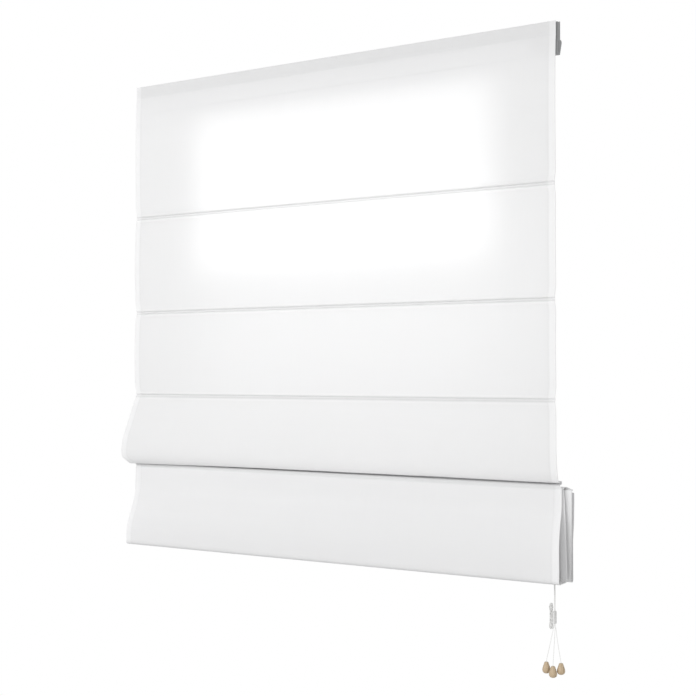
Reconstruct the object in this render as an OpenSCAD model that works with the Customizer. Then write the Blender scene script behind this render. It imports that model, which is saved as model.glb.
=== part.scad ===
// Roman blind, half raised: a headrail with a cord lock, one folded fabric on
// rods, lift cords through rings, and pull cords that end in wooden knobs.
// Millimetres. X runs along the width, +Y goes into the wall and +Z is up.
// The origin is midway between the two bracket screw holes, on the wall.

/* [Fabric] */
// Width of the fabric
blind_w = 1000; // [800:10:1200]
// Thickness of the fabric
fabric_t = 0.8; // [0.6:0.1:1]
// Width of the turned hem along each side
side_hem_w = 12; // [8:1:16]
// Extra thickness of the side hem, on the back
side_hem_t = 0.4; // [0.2:0.1:0.6]
// Drop from the fabric's top edge to the first seam
panel_1 = 291; // [260:1:330]
// Drop from the first seam to the second
panel_2 = 207; // [190:1:226]
// Drop from the second seam to the third
panel_3 = 180; // [166:2:206]
// Drop from the third seam to the first stacked rod
panel_4 = 147; // [120:1:160]
// How far each flat panel bows forward between its seams
panel_bow = 4; // [2:0.5:6]
// How far the soft fold above the stack stands forward
pouch_out = 26; // [20:1:34]

/* [Stacked folds] */
// Drop of the two hanging folds below the first stacked rod
fold_drop = 174; // [150:2:200]
// How far the front fold's lower edge stands forward
front_fold_out = 38; // [34:1:42]
// How far the rear fold's lower edge stands forward
rear_fold_out = 8; // [6:0.5:10]
// Gap between the two hanging folds
fold_gap = 6; // [4:0.5:8]
// Drop of the hem that hangs behind the folds
hem_drop = 154; // [140:2:170]
// Bend radius of the fabric where it turns at a ring rod
turn_r = 2; // [1.6:0.1:2.2]
// Bend radius of the fabric at the lower edge of a fold
edge_r = 4; // [3.8:0.1:4.6]
// Thickness of the flat bottom bar
bar_t = 4; // [3:0.5:5]
// Height of the flat bottom bar
bar_h = 22; // [16:1:28]

/* [Rods and rings] */
// Diameter of the stiffening rods
rod_d = 4; // [3:0.2:4.2]
// Radial play of a rod in its tape
rod_play = 0.3; // [0.2:0.05:0.4]
// Thickness of the rod tape
tape_t = 0.6; // [0.4:0.1:0.7]
// Length of the sewn edge that joins a rod tape to the fabric
tape_edge = 1.6; // [1.2:0.1:2]
// Wall of a ring's clip and of its eye
ring_wall = 1.3; // [1:0.1:1.4]
// Height of a ring's eye
ring_h = 3; // [2.4:0.2:3.6]
// Width of a ring's clip
ring_w = 6; // [4:0.5:9]
// Height between the stacked ring rods
rod_pitch = 9.5; // [9.2:0.1:11]
// Distance of the outer cords from the fabric's side edges
cord_inset = 100; // [70:5:130]

/* [Headrail] */
// Gap between the wall and the back of the rail
wall_gap = 8; // [7:0.5:10]
// Depth of the rail from back to front
rail_depth = 16; // [15:0.5:18]
// Height of the rail's box
rail_h = 31; // [29:1:35]
// Wall of the rail
rail_wall = 1.3; // [1:0.1:1.5]
// Height of the rear lips that the brackets grip
rail_lip = 2; // [1.6:0.1:2.6]
// Width of the slot along the underside
slot_w = 8; // [7.6:0.2:8.6]
// Distance of the slot's centre from the back of the rail
slot_back = 6.5; // [6.4:0.1:7]
// Height of the hook and loop strips
strip_h = 25; // [18:1:27]
// Thickness of each of the two strips
strip_t = 1.4; // [1.2:0.1:1.8]
// Thickness of the end caps' plates
end_cap_t = 2; // [1.5:0.5:3]
// Width of a wall bracket
bracket_w = 30; // [20:2:40]
// Thickness of a wall bracket
bracket_t = 1.5; // [1.2:0.1:2]
// Distance of the bracket screws from the fabric's side edges
bracket_inset = 200; // [180:5:250]
// Diameter of the bracket screw holes
screw_d = 4.5; // [4:0.5:6]

/* [Cord lock] */
// Length of the lock along the rail
lock_len = 42; // [38:1:48]
// Height of the lock's housing below the rail
lock_drop = 27.5; // [24:0.5:29]
// Depth of the lock's housing at its top
lock_depth = 23; // [21:0.5:23.5]
// Diameter of the cord roller
roller_d = 12; // [10:0.5:13]
// Diameter of the two pins
pin_d = 3; // [2.4:0.2:3.4]
// Radius of the pawl's toothed nose
pawl_r = 16.8; // [15.6:0.2:17]

/* [Cords and knobs] */
// Diameter of the cords
cord_d = 1.2; // [1:0.1:1.5]
// Distance between neighbouring cords in the rail
cord_gap = 1.9; // [1.8:0.05:2]
// Greatest diameter of a knob
knob_d = 14.6; // [12:0.2:14.8]
// Height of a knob
knob_h = 20; // [18:0.5:24]
// Diameter of the cord hole in a knob
knob_hole = 2.2; // [2:0.1:2.8]
// Width of the tied hank of spare cord
hank_w = 7.2; // [6.6:0.1:7.8]
// Depth of the tied hank of spare cord
hank_depth = 7.2; // [6:0.2:8]
// Length of the tied hank of spare cord
hank_h = 47; // [40:1:54]
// Width of the knot that ties the hank
knot_d = 6.2; // [5.8:0.1:6.6]
// Height of the knot that ties the hank
knot_h = 24; // [18:1:28]

/* [Hidden] */
$fn = 48;
// Small gap between pieces that slide or clip together
fit = 0.2;
// Gap around a pin that turns, and around a pin that is held
turn_fit = 0.05;
hold_fit = 0.02;
// Room around a cord in the hole that guides it
cord_room = 0.4;
// Room under a rod tape's sewn edge inside a fold's bend
sew_room = 0.1;

// Depths, from the wall to the front
rail_back = -wall_gap;
rail_front = rail_back - rail_depth;
hook_front = rail_front - strip_t;
loop_front = hook_front - strip_t;
fabric_y = loop_front - fabric_t / 2;
slot_y = rail_back - slot_back;
cord_r = cord_d / 2;
tape_in = rod_d / 2 + rod_play;
tape_out = tape_in + tape_t;
rod_y = fabric_y + fabric_t / 2 + tape_edge + tape_out;
clip_in = tape_out + 0.1;
clip_out = clip_in + ring_wall;

// Heights, from the screws down
rail_half = rail_h / 2;
top_z = rail_half + rail_lip;
strip_top = rail_half - 0.5;
seam_1 = top_z - panel_1;
seam_2 = seam_1 - panel_2;
seam_3 = seam_2 - panel_3;
rod_4_z = seam_3 - panel_4;
rod_6_z = rod_4_z - rod_pitch;
rod_8_z = rod_6_z - rod_pitch;
rod_5_y = fabric_y - front_fold_out;
rod_7_y = fabric_y - rear_fold_out;
edge_up = fabric_t / 2 + sew_room + tape_edge + tape_out;
rod_5_z = rod_4_z - fold_drop + edge_up;
rod_7_z = rod_5_z + 2;

// Lengths along the width
rail_len = blind_w - 2 * end_cap_t;
strip_len = blind_w - 2 * side_hem_w - 6;
rod_len = blind_w - 2 * side_hem_w - 8;
tape_len = rod_len - 4;
cord_x = blind_w / 2 - cord_inset;
bracket_x = blind_w / 2 - bracket_inset;
plug_len = 3.5;
cap_in = 3.4;

// Cord lock
lock_x1 = rail_len / 2 - plug_len - 0.5;
lock_end = blind_w / 2;
lock_x0 = lock_x1 - lock_len;
out_x = lock_x1 - 6;
lock_top = -rail_half;
lock_z = lock_top - lock_drop;
lock_in = 6.6;
roller_r = roller_d / 2;
roller_x = out_x - cord_r - roller_r;
roller_z = -8;
cord_z = roller_z + roller_r + cord_r;
bend_r = 5;
pawl_x = out_x - cord_r - 0.4 - pawl_r;
pawl_z = lock_top - 13.5;
lock_front_in = 1;

// Each cord's place along the width and in the depth: left, middle, right
cord_cols = [-cord_x, 0, cord_x];
cord_lanes = [slot_y, slot_y + cord_gap, slot_y - cord_gap];

// Height above the first stacked rod where the fabric's two runs meet
split_up = 0.1;

// Bottom bar in its pocket
bar_play = 0.4;
bar_len = blind_w - 2 * side_hem_w - 12;
hem_u = 3;
pocket_r = bar_t / 2 + bar_play + fabric_t / 2;
hem_low = -2 * rod_pitch - hem_drop;

// Back of the front fold's base, one gap in front of the rear fold
base_u = -rear_fold_out - edge_r - fold_gap;
base_r = 5;
base_up = 3;

// Routes of the pull cords, from the lock's outlet down
tie_x = 1.2;
tie_top = -993;
tie_low = tie_top - knot_h;
hang_left = [
  [0, 0, -0.1], [0, 0, -120], [0.1, -0.2, -400], [0.4, -0.4, -900],
  [0.4, -0.5, tie_top + 15], [0.4, -0.5, tie_low], [-2, -0.5, tie_low - 9],
  [-10, -0.4, tie_low - 44], [-15, -0.4, tie_low - 65],
  [-15.4, -0.4, tie_low - 73], [-15.4, -0.4, tie_low - 83]];
hang_middle = [
  [0, cord_gap, -0.1], [0, cord_gap, -120], [0.3, 1.6, -400], [1, 1.1, -900],
  [1.2, 0.9, tie_top + 15], [1.2, 0.9, tie_low], [1.2, 0.2, tie_low - 9],
  [1.3, -5.4, tie_low - 45], [1.4, -9.2, tie_low - 68],
  [1.4, -9.4, tie_low - 77], [1.4, -9.4, tie_low - 87]];
hang_right = [
  [0, -cord_gap, -0.1], [0, -cord_gap, -120], [0.6, -1.8, -400], [2, -0.9, -900],
  [2.1, -0.5, tie_top + 15], [2.1, -0.5, tie_low], [3.2, -0.5, tie_low - 9],
  [8.2, -0.4, tie_low - 43], [12.4, -0.4, tie_low - 64],
  [12.8, -0.4, tie_low - 72], [12.8, -0.4, tie_low - 82]];
knob_places = [[-15.4, -0.4, tie_low - 69], [1.4, -9.4, tie_low - 73], [12.8, -0.4, tie_low - 68]];
outlet = [out_x, slot_y, lock_z];

// Points on an arc from one angle to another
function arc(c, r, a0, a1, n) =
  [for (i = [0:n]) c + r * [cos(a0 + (a1 - a0) * i / n), sin(a0 + (a1 - a0) * i / n)]];

// One point of a smooth curve between the second and third of four points
function between(a, b, c, d, t) =
  0.5 * (2 * b + (c - a) * t + (2 * a - 5 * b + 4 * c - d) * t * t + (3 * b - a - 3 * c + d) * t * t * t);

// A smooth curve through all the points, with n steps from each to the next
function smooth(p, n) = concat(
  [for (i = [0:len(p) - 2]) for (k = [0:n - 1])
    between(p[max(i - 1, 0)], p[i], p[i + 1], p[min(i + 2, len(p) - 1)], k / n)],
  [p[len(p) - 1]]);

// Left-hand normal of a line of points; on the fabric it points to the back
function normal(p, i) =
  let (d = p[min(i + 1, len(p) - 1)] - p[max(i - 1, 0)])
  [-d[1], d[0]] / norm(d);

// A line of points moved sideways
function beside(p, d) = [for (i = [0:len(p) - 1]) p[i] + d * normal(p, i)];

// A list of points in the opposite order
function turned(p) = [for (i = [len(p) - 1:-1:0]) p[i]];

// The outline of a band along a line of points
function band(p, front, back) = concat(beside(p, -front), turned(beside(p, back)));

// One flat panel's bow between two seams, without its last point
function panel(z0, z1) =
  [for (i = [0:12])
    let (s = i / 12)
    [-panel_bow * pow(sin(180 * s), 0.6), z0 - 0.8 + (z1 - z0 + 1.6) * s]];

// The fabric from its top edge to the first stacked rod, as depth and height
drop_line = concat(
  [[0, top_z], [0, strip_top - strip_h]],
  [for (p = panel(strip_top - strip_h, seam_1)) p], [[0, seam_1]],
  panel(seam_1, seam_2), [[0, seam_2]],
  panel(seam_2, seam_3), [[0, seam_3]],
  [for (p = smooth([
      [0, panel_4 - 1], [-0.16 * pouch_out, 0.86 * panel_4], [-0.52 * pouch_out, 0.62 * panel_4],
      [-0.86 * pouch_out, 0.36 * panel_4], [-pouch_out, 24], [-0.9 * pouch_out, 11],
      [-0.62 * pouch_out, 4.7], [-0.3 * pouch_out, turn_r + 1.1], [-turn_r - 1, turn_r + 0.5]], 5))
    p + [0, rod_4_z]],
  arc([-turn_r, rod_4_z + 0.5], turn_r, 90, 0, 6),
  [[0, rod_4_z + split_up]]);

// The stacked folds and the hem, from the first stacked rod on
fold_line = concat(
  [[0, split_up]],
  arc([-turn_r, 0], turn_r, 0, -90, 6),
  arc([-11, -turn_r - 6], 6, 90, 172, 7),
  smooth([
    [-17.2, -turn_r - 9], [-19.5, -0.24 * fold_drop], [-0.67 * front_fold_out, -0.48 * fold_drop],
    [-0.95 * front_fold_out, -0.75 * fold_drop], [-front_fold_out - edge_r, edge_r + 6 - fold_drop]], 5),
  arc([-front_fold_out, edge_r - fold_drop], edge_r, 180, 270, 6),
  [[3 - front_fold_out, -fold_drop]],
  arc([base_u - base_r, base_r + base_up - fold_drop], base_r, 270, 360, 6),
  smooth([
    [base_u, base_r + base_up + 6 - fold_drop], [base_u + 0.6, -0.7 * fold_drop],
    [-14.5, -0.4 * fold_drop], [-12.6, -rod_pitch - 16], [-12, -rod_pitch - 5]], 5),
  arc([-8, -rod_pitch + turn_r - 4], 4, 180, 90, 6),
  arc([-turn_r, -rod_pitch], turn_r, 90, -90, 12),
  arc([-5, -rod_pitch - turn_r - 2.5], 2.5, 90, 175, 6),
  smooth([
    [-7.6, -rod_pitch - turn_r - 6], [-8.4, -0.36 * fold_drop],
    [-0.6 * (rear_fold_out + edge_r) - 3, -0.68 * fold_drop],
    [-rear_fold_out - edge_r, edge_r + 8 - fold_drop]], 5),
  arc([-rear_fold_out, edge_r + 2 - fold_drop], edge_r, 180, 360, 12),
  smooth([
    [edge_r - rear_fold_out, edge_r + 8 - fold_drop], [-0.5 * rear_fold_out - 0.3, -0.66 * fold_drop],
    [-2 * turn_r - 0.6, -0.36 * fold_drop], [-2 * turn_r, -2 * rod_pitch - 8]], 5),
  arc([-turn_r, -2 * rod_pitch], turn_r, 180, 0, 12),
  smooth([
    [0.1, -2 * rod_pitch - 6], [0.8, -0.4 * fold_drop], [2.6, hem_low + 80], [hem_u, hem_low + 44],
    [hem_u, hem_low + pocket_r + 4]], 5),
  arc([hem_u + pocket_r, hem_low + pocket_r], pocket_r, 180, 360, 12),
  [[hem_u + 2 * pocket_r, hem_low + pocket_r + bar_h],
    [hem_u + fabric_t + 2 * side_hem_t + 1.4, hem_low + pocket_r + bar_h + 7],
    [hem_u + fabric_t + 2 * side_hem_t + 0.2, hem_low + pocket_r + bar_h + 9],
    [hem_u + fabric_t + 2 * side_hem_t + 0.2, hem_low + pocket_r + bar_h + 13]]);

// A depth-and-height outline, run along the width between two places
module along(x0, x1, outline) {
  translate([x0, 0, 0])
    rotate([90, 0, 90])
      linear_extrude(x1 - x0)
        polygon(outline);
}

// A round bar along the width
module bar_x(x0, x1, y, z, r) {
  translate([x0, y, z])
    rotate([0, 90, 0])
      cylinder(h = x1 - x0, r = r);
}

// A round bar along the depth
module bar_y(x, y0, y1, z, r) {
  translate([x, y1, z])
    rotate([90, 0, 0])
      cylinder(h = y1 - y0, r = r);
}

// A box between two corners
module block(a, b) {
  translate(a)
    cube(b - a);
}

// A cord along a route of points
module cord_tube(route) {
  n = len(route);
  rings = [for (i = [0:n - 1])
    let (d = route[min(i + 1, n - 1)] - route[max(i - 1, 0)], t = d / norm(d),
      a = cross(t, [0, 1, 0]) / norm(cross(t, [0, 1, 0])), b = cross(t, a))
    for (k = [0:7]) route[i] + cord_r * (cos(45 * k) * a + sin(45 * k) * b)];
  sides = [for (i = [0:n - 2]) for (k = [0:7]) for (h = [0, 1])
    h == 0
      ? [8 * i + k, 8 * i + (k + 1) % 8, 8 * i + 8 + k]
      : [8 * i + (k + 1) % 8, 8 * i + 8 + (k + 1) % 8, 8 * i + 8 + k]];
  ends = [[7, 6, 5, 4, 3, 2, 1, 0], [for (k = [0:7]) 8 * (n - 1) + k]];
  color([0.94, 0.93, 0.9])
    polyhedron(concat(rings), concat(sides, ends));
}

// The rail's box with a slot underneath and a lip above and below its back
module headrail() {
  b = rail_back;
  f = rail_front;
  i = rail_back - rail_wall;
  h = rail_half;
  low = rail_wall - rail_half;
  color([0.93, 0.93, 0.92])
    difference() {
      along(-rail_len / 2, rail_len / 2, [
        [b, top_z], [i, top_z], [i, h], [f, h], [f, -h], [slot_y - slot_w / 2, -h],
        [slot_y - slot_w / 2, low], [f + rail_wall, low], [f + rail_wall, -low], [i, -low], [i, low],
        [slot_y + slot_w / 2, low], [slot_y + slot_w / 2, -h], [i, -h], [i, -top_z], [b, -top_z]]);
      block([lock_x0 - fit, f + rail_wall, -h - 1], [lock_x1 + fit, i, low + 0.5]);
    }
}

// A plate that closes the rail's end, with a plug that goes into it
module end_cap(side) {
  b = rail_back;
  f = rail_front;
  i = rail_back - rail_wall;
  h = rail_half;
  p = rail_wall + 0.1;
  g = rail_front + cap_in;
  color([0.6, 0.61, 0.62])
    mirror([side < 0 ? 1 : 0, 0, 0])
      union() {
        along(rail_len / 2, rail_len / 2 + end_cap_t, [
          [b, top_z - 0.6], [b - 0.6, top_z], [i, top_z], [i - 0.6, h], [g + 1, h], [g, h - 1],
          [g, 1 - h], [g + 1, -h], [i - 0.6, -h], [i, -top_z], [b - 0.6, -top_z], [b, 0.6 - top_z]]);
        block([rail_len / 2 - plug_len, f + p, p - h], [rail_len / 2 + 0.1, b - p, h - p]);
      }
}

module end_cap_left() {
  end_cap(-1);
}

module end_cap_right() {
  end_cap(1);
}

// A bent plate on the wall whose two claws grip the rail's lips
module wall_bracket(x) {
  z = top_z + fit;
  y = rail_back - rail_wall - fit;
  claw = rail_half + fit + 0.2;
  outline = [
    [0, z + bracket_t], [y - bracket_t, z + bracket_t], [y - bracket_t, claw], [y, claw], [y, z],
    [-bracket_t, z], [-bracket_t, -z], [y, -z], [y, -claw], [y - bracket_t, -claw],
    [y - bracket_t, -z - bracket_t], [0, -z - bracket_t]];
  color([0.75, 0.76, 0.77])
    difference() {
      along(x - bracket_w / 2, x + bracket_w / 2, outline);
      bar_y(x, -bracket_t - 1, 1, 0, screw_d / 2);
    }
}

module wall_bracket_left() {
  wall_bracket(-bracket_x);
}

module wall_bracket_right() {
  wall_bracket(bracket_x);
}

module hook_strip() {
  color([0.9, 0.9, 0.88])
    block([-strip_len / 2, hook_front, strip_top - strip_h], [strip_len / 2, rail_front, strip_top]);
}

module loop_strip() {
  color([0.95, 0.95, 0.93])
    block([-strip_len / 2, loop_front, strip_top - strip_h], [strip_len / 2, hook_front, strip_top]);
}

// A bush that snaps into the rail's slot and turns one cord into the rail
module cord_guide(i) {
  collar = 1.6;
  collar_r = slot_back - rail_wall - fit;
  color([0.92, 0.92, 0.9])
    difference() {
      translate([cord_cols[i], slot_y, -rail_half - collar])
        union() {
          cylinder(h = collar, r = collar_r);
          cylinder(h = collar + rail_wall + 0.1, d = slot_w - fit);
          translate([0, 0, collar + rail_wall])
            cylinder(h = collar, r1 = collar_r - fit, d2 = slot_w - fit);
        }
      translate([cord_cols[i], cord_lanes[i], -rail_half - collar - 1])
        cylinder(h = 2 * collar + rail_wall + 2, r = cord_r + cord_room);
    }
}

module cord_guide_left() {
  cord_guide(0);
}

module cord_guide_middle() {
  cord_guide(1);
}

module cord_guide_right() {
  cord_guide(2);
}

// The lock's tapered housing below the rail and its two cheeks inside the rail
module lock_body() {
  f = rail_front;
  b = rail_front + lock_depth;
  i = rail_back - rail_wall;
  tower = roller_z + pin_d / 2 + 3;
  color([0.55, 0.56, 0.57])
    difference() {
      union() {
        along(lock_x0, lock_end, [
          [f, lock_top], [f, lock_z + 1], [f + lock_front_in, lock_z], [rail_back - 1, lock_z],
          [b, lock_top - 4], [b - 2, lock_top]]);
        block([lock_x0, f + rail_wall + fit, lock_top - 0.1], [lock_x1, i - fit, tower]);
      }
      block([lock_x0 - 1, i - fit, -top_z - fit], [lock_end + 1, rail_back + fit, lock_top + 1]);
      block([lock_x1 + fit, i - 0.8, -top_z - fit], [lock_end + 1, i, lock_top + 1]);
      block([lock_end - 0.8, f + 6, lock_z + 4], [lock_end + 1, f + 12, lock_top - 4]);
      block(
        [lock_x0 + 4, slot_y - lock_in / 2, lock_z - 1],
        [out_x + cord_r + cord_room, slot_y + lock_in / 2, tower + 1]);
      bar_y(roller_x, f, b, roller_z, pin_d / 2 + hold_fit);
      bar_y(pawl_x, f - 1, b + 1, pawl_z, pin_d / 2 + hold_fit);
    }
}

// The pins that the roller and the pawl turn on
module lock_pins() {
  f = rail_front + rail_wall + 2 * fit;
  b = rail_back - rail_wall - 2 * fit;
  color([0.8, 0.8, 0.8])
    union() {
      bar_y(roller_x, f, b, roller_z, pin_d / 2);
      bar_y(pawl_x, rail_front + 2, rail_front + lock_depth - 5, pawl_z, pin_d / 2);
    }
}

module lock_roller() {
  color([0.9, 0.9, 0.88])
    difference() {
      bar_y(roller_x, slot_y - lock_in / 2 + 0.3, slot_y + lock_in / 2 - 0.3, roller_z, roller_r);
      bar_y(roller_x, slot_y - lock_in, slot_y + lock_in, roller_z, pin_d / 2 + turn_fit);
    }
}

// The toothed cam that pinches the cords; its nose is in reach at rest
module lock_pawl() {
  teeth = [for (i = [0:10])
    let (a = 14 - 3.4 * i, r = pawl_r - (i % 2) * 0.9 - max(0, -a) * 0.07)
    r * [cos(a), sin(a)]];
  color([0.85, 0.85, 0.83])
    difference() {
      union() {
        bar_y(pawl_x, slot_y - lock_in / 2 + 0.3, slot_y + lock_in / 2 - 0.3, pawl_z, pin_d / 2 + 2.4);
        translate([pawl_x, slot_y + lock_in / 2 - 0.3, pawl_z])
          rotate([90, 0, 0])
            linear_extrude(lock_in - 0.6)
              polygon(concat([[0, 3.6], [9, 5]], teeth, [[8, -5.4], [0, -3.6]]));
      }
      bar_y(pawl_x, slot_y - lock_in, slot_y + lock_in, pawl_z, pin_d / 2 + turn_fit);
    }
}

// A quarter bend of cord in an upright plane along the width
module cord_bend(x, y, z, r, a) {
  translate([x, y, z])
    rotate([90, 0, 0])
      rotate([0, 0, a])
        rotate_extrude(angle = 90)
          translate([r, 0])
            circle(r = cord_r);
}

// The cords inside the rail, from the guides over the roller to the lock's outlet
module rail_cords() {
  low = -rail_half - 1.6;
  color([0.94, 0.93, 0.9])
    for (i = [0:2])
      union() {
        translate([cord_cols[i], cord_lanes[i], low])
          cylinder(h = cord_z - bend_r - low, r = cord_r);
        cord_bend(cord_cols[i] + bend_r, cord_lanes[i], cord_z - bend_r, bend_r, 90);
        bar_x(cord_cols[i] + bend_r, roller_x, cord_lanes[i], cord_z, cord_r);
        cord_bend(roller_x, cord_lanes[i], roller_z, roller_r + cord_r, 0);
        translate([out_x, cord_lanes[i], lock_z])
          cylinder(h = roller_z - lock_z, r = cord_r);
      }
}

// The upright cords behind the fabric, from the guides to the stops
module lift_cords() {
  low = rod_8_z - clip_out - 4;
  color([0.94, 0.93, 0.9])
    for (i = [0:2])
      translate([cord_cols[i], cord_lanes[i], low])
        cylinder(h = -rail_half - 1.6 - low, r = cord_r);
}

// Buttons on the cords' ends, below the lowest rings
module cord_stops() {
  color([0.9, 0.9, 0.88])
    for (i = [0:2])
      difference() {
        translate([cord_cols[i], slot_y, rod_8_z - clip_out - 6.1])
          union() {
            cylinder(h = 3, r1 = 3, r2 = 4.6);
            translate([0, 0, 3])
              cylinder(h = 3, r = 4.6);
          }
        translate([cord_cols[i], cord_lanes[i], rod_8_z - clip_out - 4.1])
          cylinder(h = 5, r = cord_r + turn_fit);
      }
}

// One run of fabric with a thicker hem along each side
module fabric(line, y, z) {
  inner = blind_w / 2 - side_hem_w;
  half = fabric_t / 2;
  color([0.95, 0.95, 0.94])
    translate([0, y, z])
      union() {
        along(-blind_w / 2, blind_w / 2, band(line, half, half));
        along(-blind_w / 2, -inner, band(line, half, half + side_hem_t));
        along(inner, blind_w / 2, band(line, half, half + side_hem_t));
      }
}

module fabric_drop() {
  fabric(drop_line, fabric_y, 0);
}

module fabric_folds() {
  fabric(fold_line, fabric_y, rod_4_z);
}

module rod(y, z) {
  color([0.88, 0.88, 0.84])
    bar_x(-rod_len / 2, rod_len / 2, y, z, rod_d / 2);
}

module rod_1() {
  rod(rod_y, seam_1);
}

module rod_2() {
  rod(rod_y, seam_2);
}

module rod_3() {
  rod(rod_y, seam_3);
}

module rod_4() {
  rod(rod_y, rod_4_z);
}

module rod_5() {
  rod(rod_5_y, rod_5_z);
}

module rod_6() {
  rod(rod_y, rod_6_z);
}

module rod_7() {
  rod(rod_7_y, rod_7_z);
}

module rod_8() {
  rod(rod_y, rod_8_z);
}

// A tape round a rod, with its sewn edge towards the front (0) or down (90)
module rod_tape(y, z, lean) {
  color([0.93, 0.93, 0.92])
    translate([0, y, z])
      rotate([lean, 0, 0])
        difference() {
          union() {
            bar_x(-tape_len / 2, tape_len / 2, 0, 0, tape_out);
            block([-tape_len / 2, -tape_out - tape_edge, -0.4], [tape_len / 2, 0, 0.4]);
          }
          bar_x(-tape_len / 2 - 1, tape_len / 2 + 1, 0, 0, tape_in);
        }
}

module rod_tape_1() {
  rod_tape(rod_y, seam_1, 0);
}

module rod_tape_2() {
  rod_tape(rod_y, seam_2, 0);
}

module rod_tape_3() {
  rod_tape(rod_y, seam_3, 0);
}

module rod_tape_4() {
  rod_tape(rod_y, rod_4_z, 0);
}

module rod_tape_5() {
  rod_tape(rod_5_y, rod_5_z, 90);
}

module rod_tape_6() {
  rod_tape(rod_y, rod_6_z, 0);
}

module rod_tape_7() {
  rod_tape(rod_7_y, rod_7_z, 90);
}

module rod_tape_8() {
  rod_tape(rod_y, rod_8_z, 0);
}

// Three rings on one rod: a clip round the tape and an eye for the cord
module rings(z) {
  eye_in = cord_gap + cord_r + 0.4;
  eye_out = eye_in + ring_wall;
  low = z - clip_out;
  color([0.9, 0.9, 0.88])
    for (x = cord_cols)
      difference() {
        union() {
          bar_x(x - ring_w / 2, x + ring_w / 2, rod_y, z, clip_out);
          translate([x, slot_y, low])
            cylinder(h = ring_h, r = eye_out);
          block([x - ring_w / 2, rod_y, low], [x + ring_w / 2, slot_y, low + ring_h]);
        }
        bar_x(x - eye_out - 1, x + eye_out + 1, rod_y, z, clip_in);
        translate([x, slot_y, low - 1])
          cylinder(h = ring_h + 2, r = eye_in);
        block([x - ring_w, rod_y - clip_out - 1, z - 2.2], [x + ring_w, rod_y, z + 2.2]);
      }
}

module rings_2() {
  rings(seam_2);
}

module rings_4() {
  rings(rod_4_z);
}

module rings_6() {
  rings(rod_6_z);
}

module rings_8() {
  rings(rod_8_z);
}

// The flat bar in the hem's pocket
module bottom_bar() {
  y = fabric_y + hem_u + pocket_r;
  z = rod_4_z + hem_low + pocket_r;
  color([0.72, 0.73, 0.74])
    block([-bar_len / 2, y - bar_t / 2, z], [bar_len / 2, y + bar_t / 2, z + bar_h]);
}

// A plastic end on the bottom bar
module bar_cap(side) {
  y = fabric_y + hem_u + pocket_r;
  z = rod_4_z + hem_low + pocket_r;
  color([0.85, 0.85, 0.84])
    mirror([side < 0 ? 1 : 0, 0, 0])
      along(bar_len / 2, bar_len / 2 + 3, [
        [y - bar_t / 2, z + 1], [y - bar_t / 2, z + bar_h - 1], [y - bar_t / 2 + 1, z + bar_h],
        [y + bar_t / 2 - 1, z + bar_h], [y + bar_t / 2, z + bar_h - 1], [y + bar_t / 2, z + 1],
        [y + bar_t / 2 - 1, z], [y - bar_t / 2 + 1, z]]);
}

module bar_cap_left() {
  bar_cap(-1);
}

module bar_cap_right() {
  bar_cap(1);
}

module pull_cord_left() {
  cord_tube([for (p = smooth(hang_left, 2)) p + outlet]);
}

module pull_cord_middle() {
  cord_tube([for (p = smooth(hang_middle, 2)) p + outlet]);
}

module pull_cord_right() {
  cord_tube([for (p = smooth(hang_right, 2)) p + outlet]);
}

// Spare cord gathered in a hank beside the cords, and the knot that ties it
module cord_hank() {
  knot_in = cord_d + 0.8;
  knot_r = knot_d / 2;
  hank_r = hank_w / 2;
  hank_x = tie_x - knot_r - hank_r - 0.5;
  hank_top = tie_top + 13;
  color([0.8, 0.79, 0.77])
    translate(outlet)
      difference() {
        union() {
          translate([tie_x, 0, tie_low])
            rotate_extrude()
              polygon([
                [0, 0], [knot_r - 0.5, 0], [knot_r, 2], [knot_r - 0.3, 5], [knot_r, 8],
                [knot_r, knot_h - 5], [knot_r - 0.3, knot_h - 3], [knot_r - 0.4, knot_h], [0, knot_h]]);
          translate([hank_x, hank_depth / 2, hank_top])
            rotate([90, 0, 0])
              linear_extrude(hank_depth)
                union() {
                  translate([0, -hank_r])
                    circle(r = hank_r);
                  translate([-hank_r, hank_r - hank_h])
                    square([hank_w, hank_h - hank_w]);
                  translate([0, hank_r - hank_h])
                    circle(r = hank_r);
                }
          bar_x(hank_x, tie_x - knot_r + 0.4, 0, tie_low + 5, 1.2);
        }
        translate([tie_x, 0, tie_low - 1])
          cylinder(h = knot_h + 2, r = knot_in);
      }
}

// A turned wooden knob with a hole for its cord and a recess for the cord's knot
module knob(i) {
  r = knob_d / 2;
  color([0.82, 0.66, 0.46])
    translate(outlet + knob_places[i])
      difference() {
        translate([0, 0, -knob_h])
          rotate_extrude()
            polygon([
              [0, 0], [0.5 * r, 0], [0.78 * r, 0.08 * knob_h], [0.95 * r, 0.18 * knob_h],
              [r, 0.3 * knob_h], [0.97 * r, 0.42 * knob_h], [0.88 * r, 0.55 * knob_h],
              [0.76 * r, 0.68 * knob_h], [0.64 * r, 0.8 * knob_h], [0.56 * r, 0.9 * knob_h],
              [0.5 * r, 0.96 * knob_h], [0.4 * r, knob_h], [0, knob_h]]);
        translate([0, 0, -knob_h - 1])
          cylinder(h = knob_h + 2, d = knob_hole);
        translate([0, 0, -knob_h - 1])
          cylinder(h = 6, d = 2 * knob_hole);
      }
}

module knob_left() {
  knob(0);
}

module knob_middle() {
  knob(1);
}

module knob_right() {
  knob(2);
}

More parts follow.
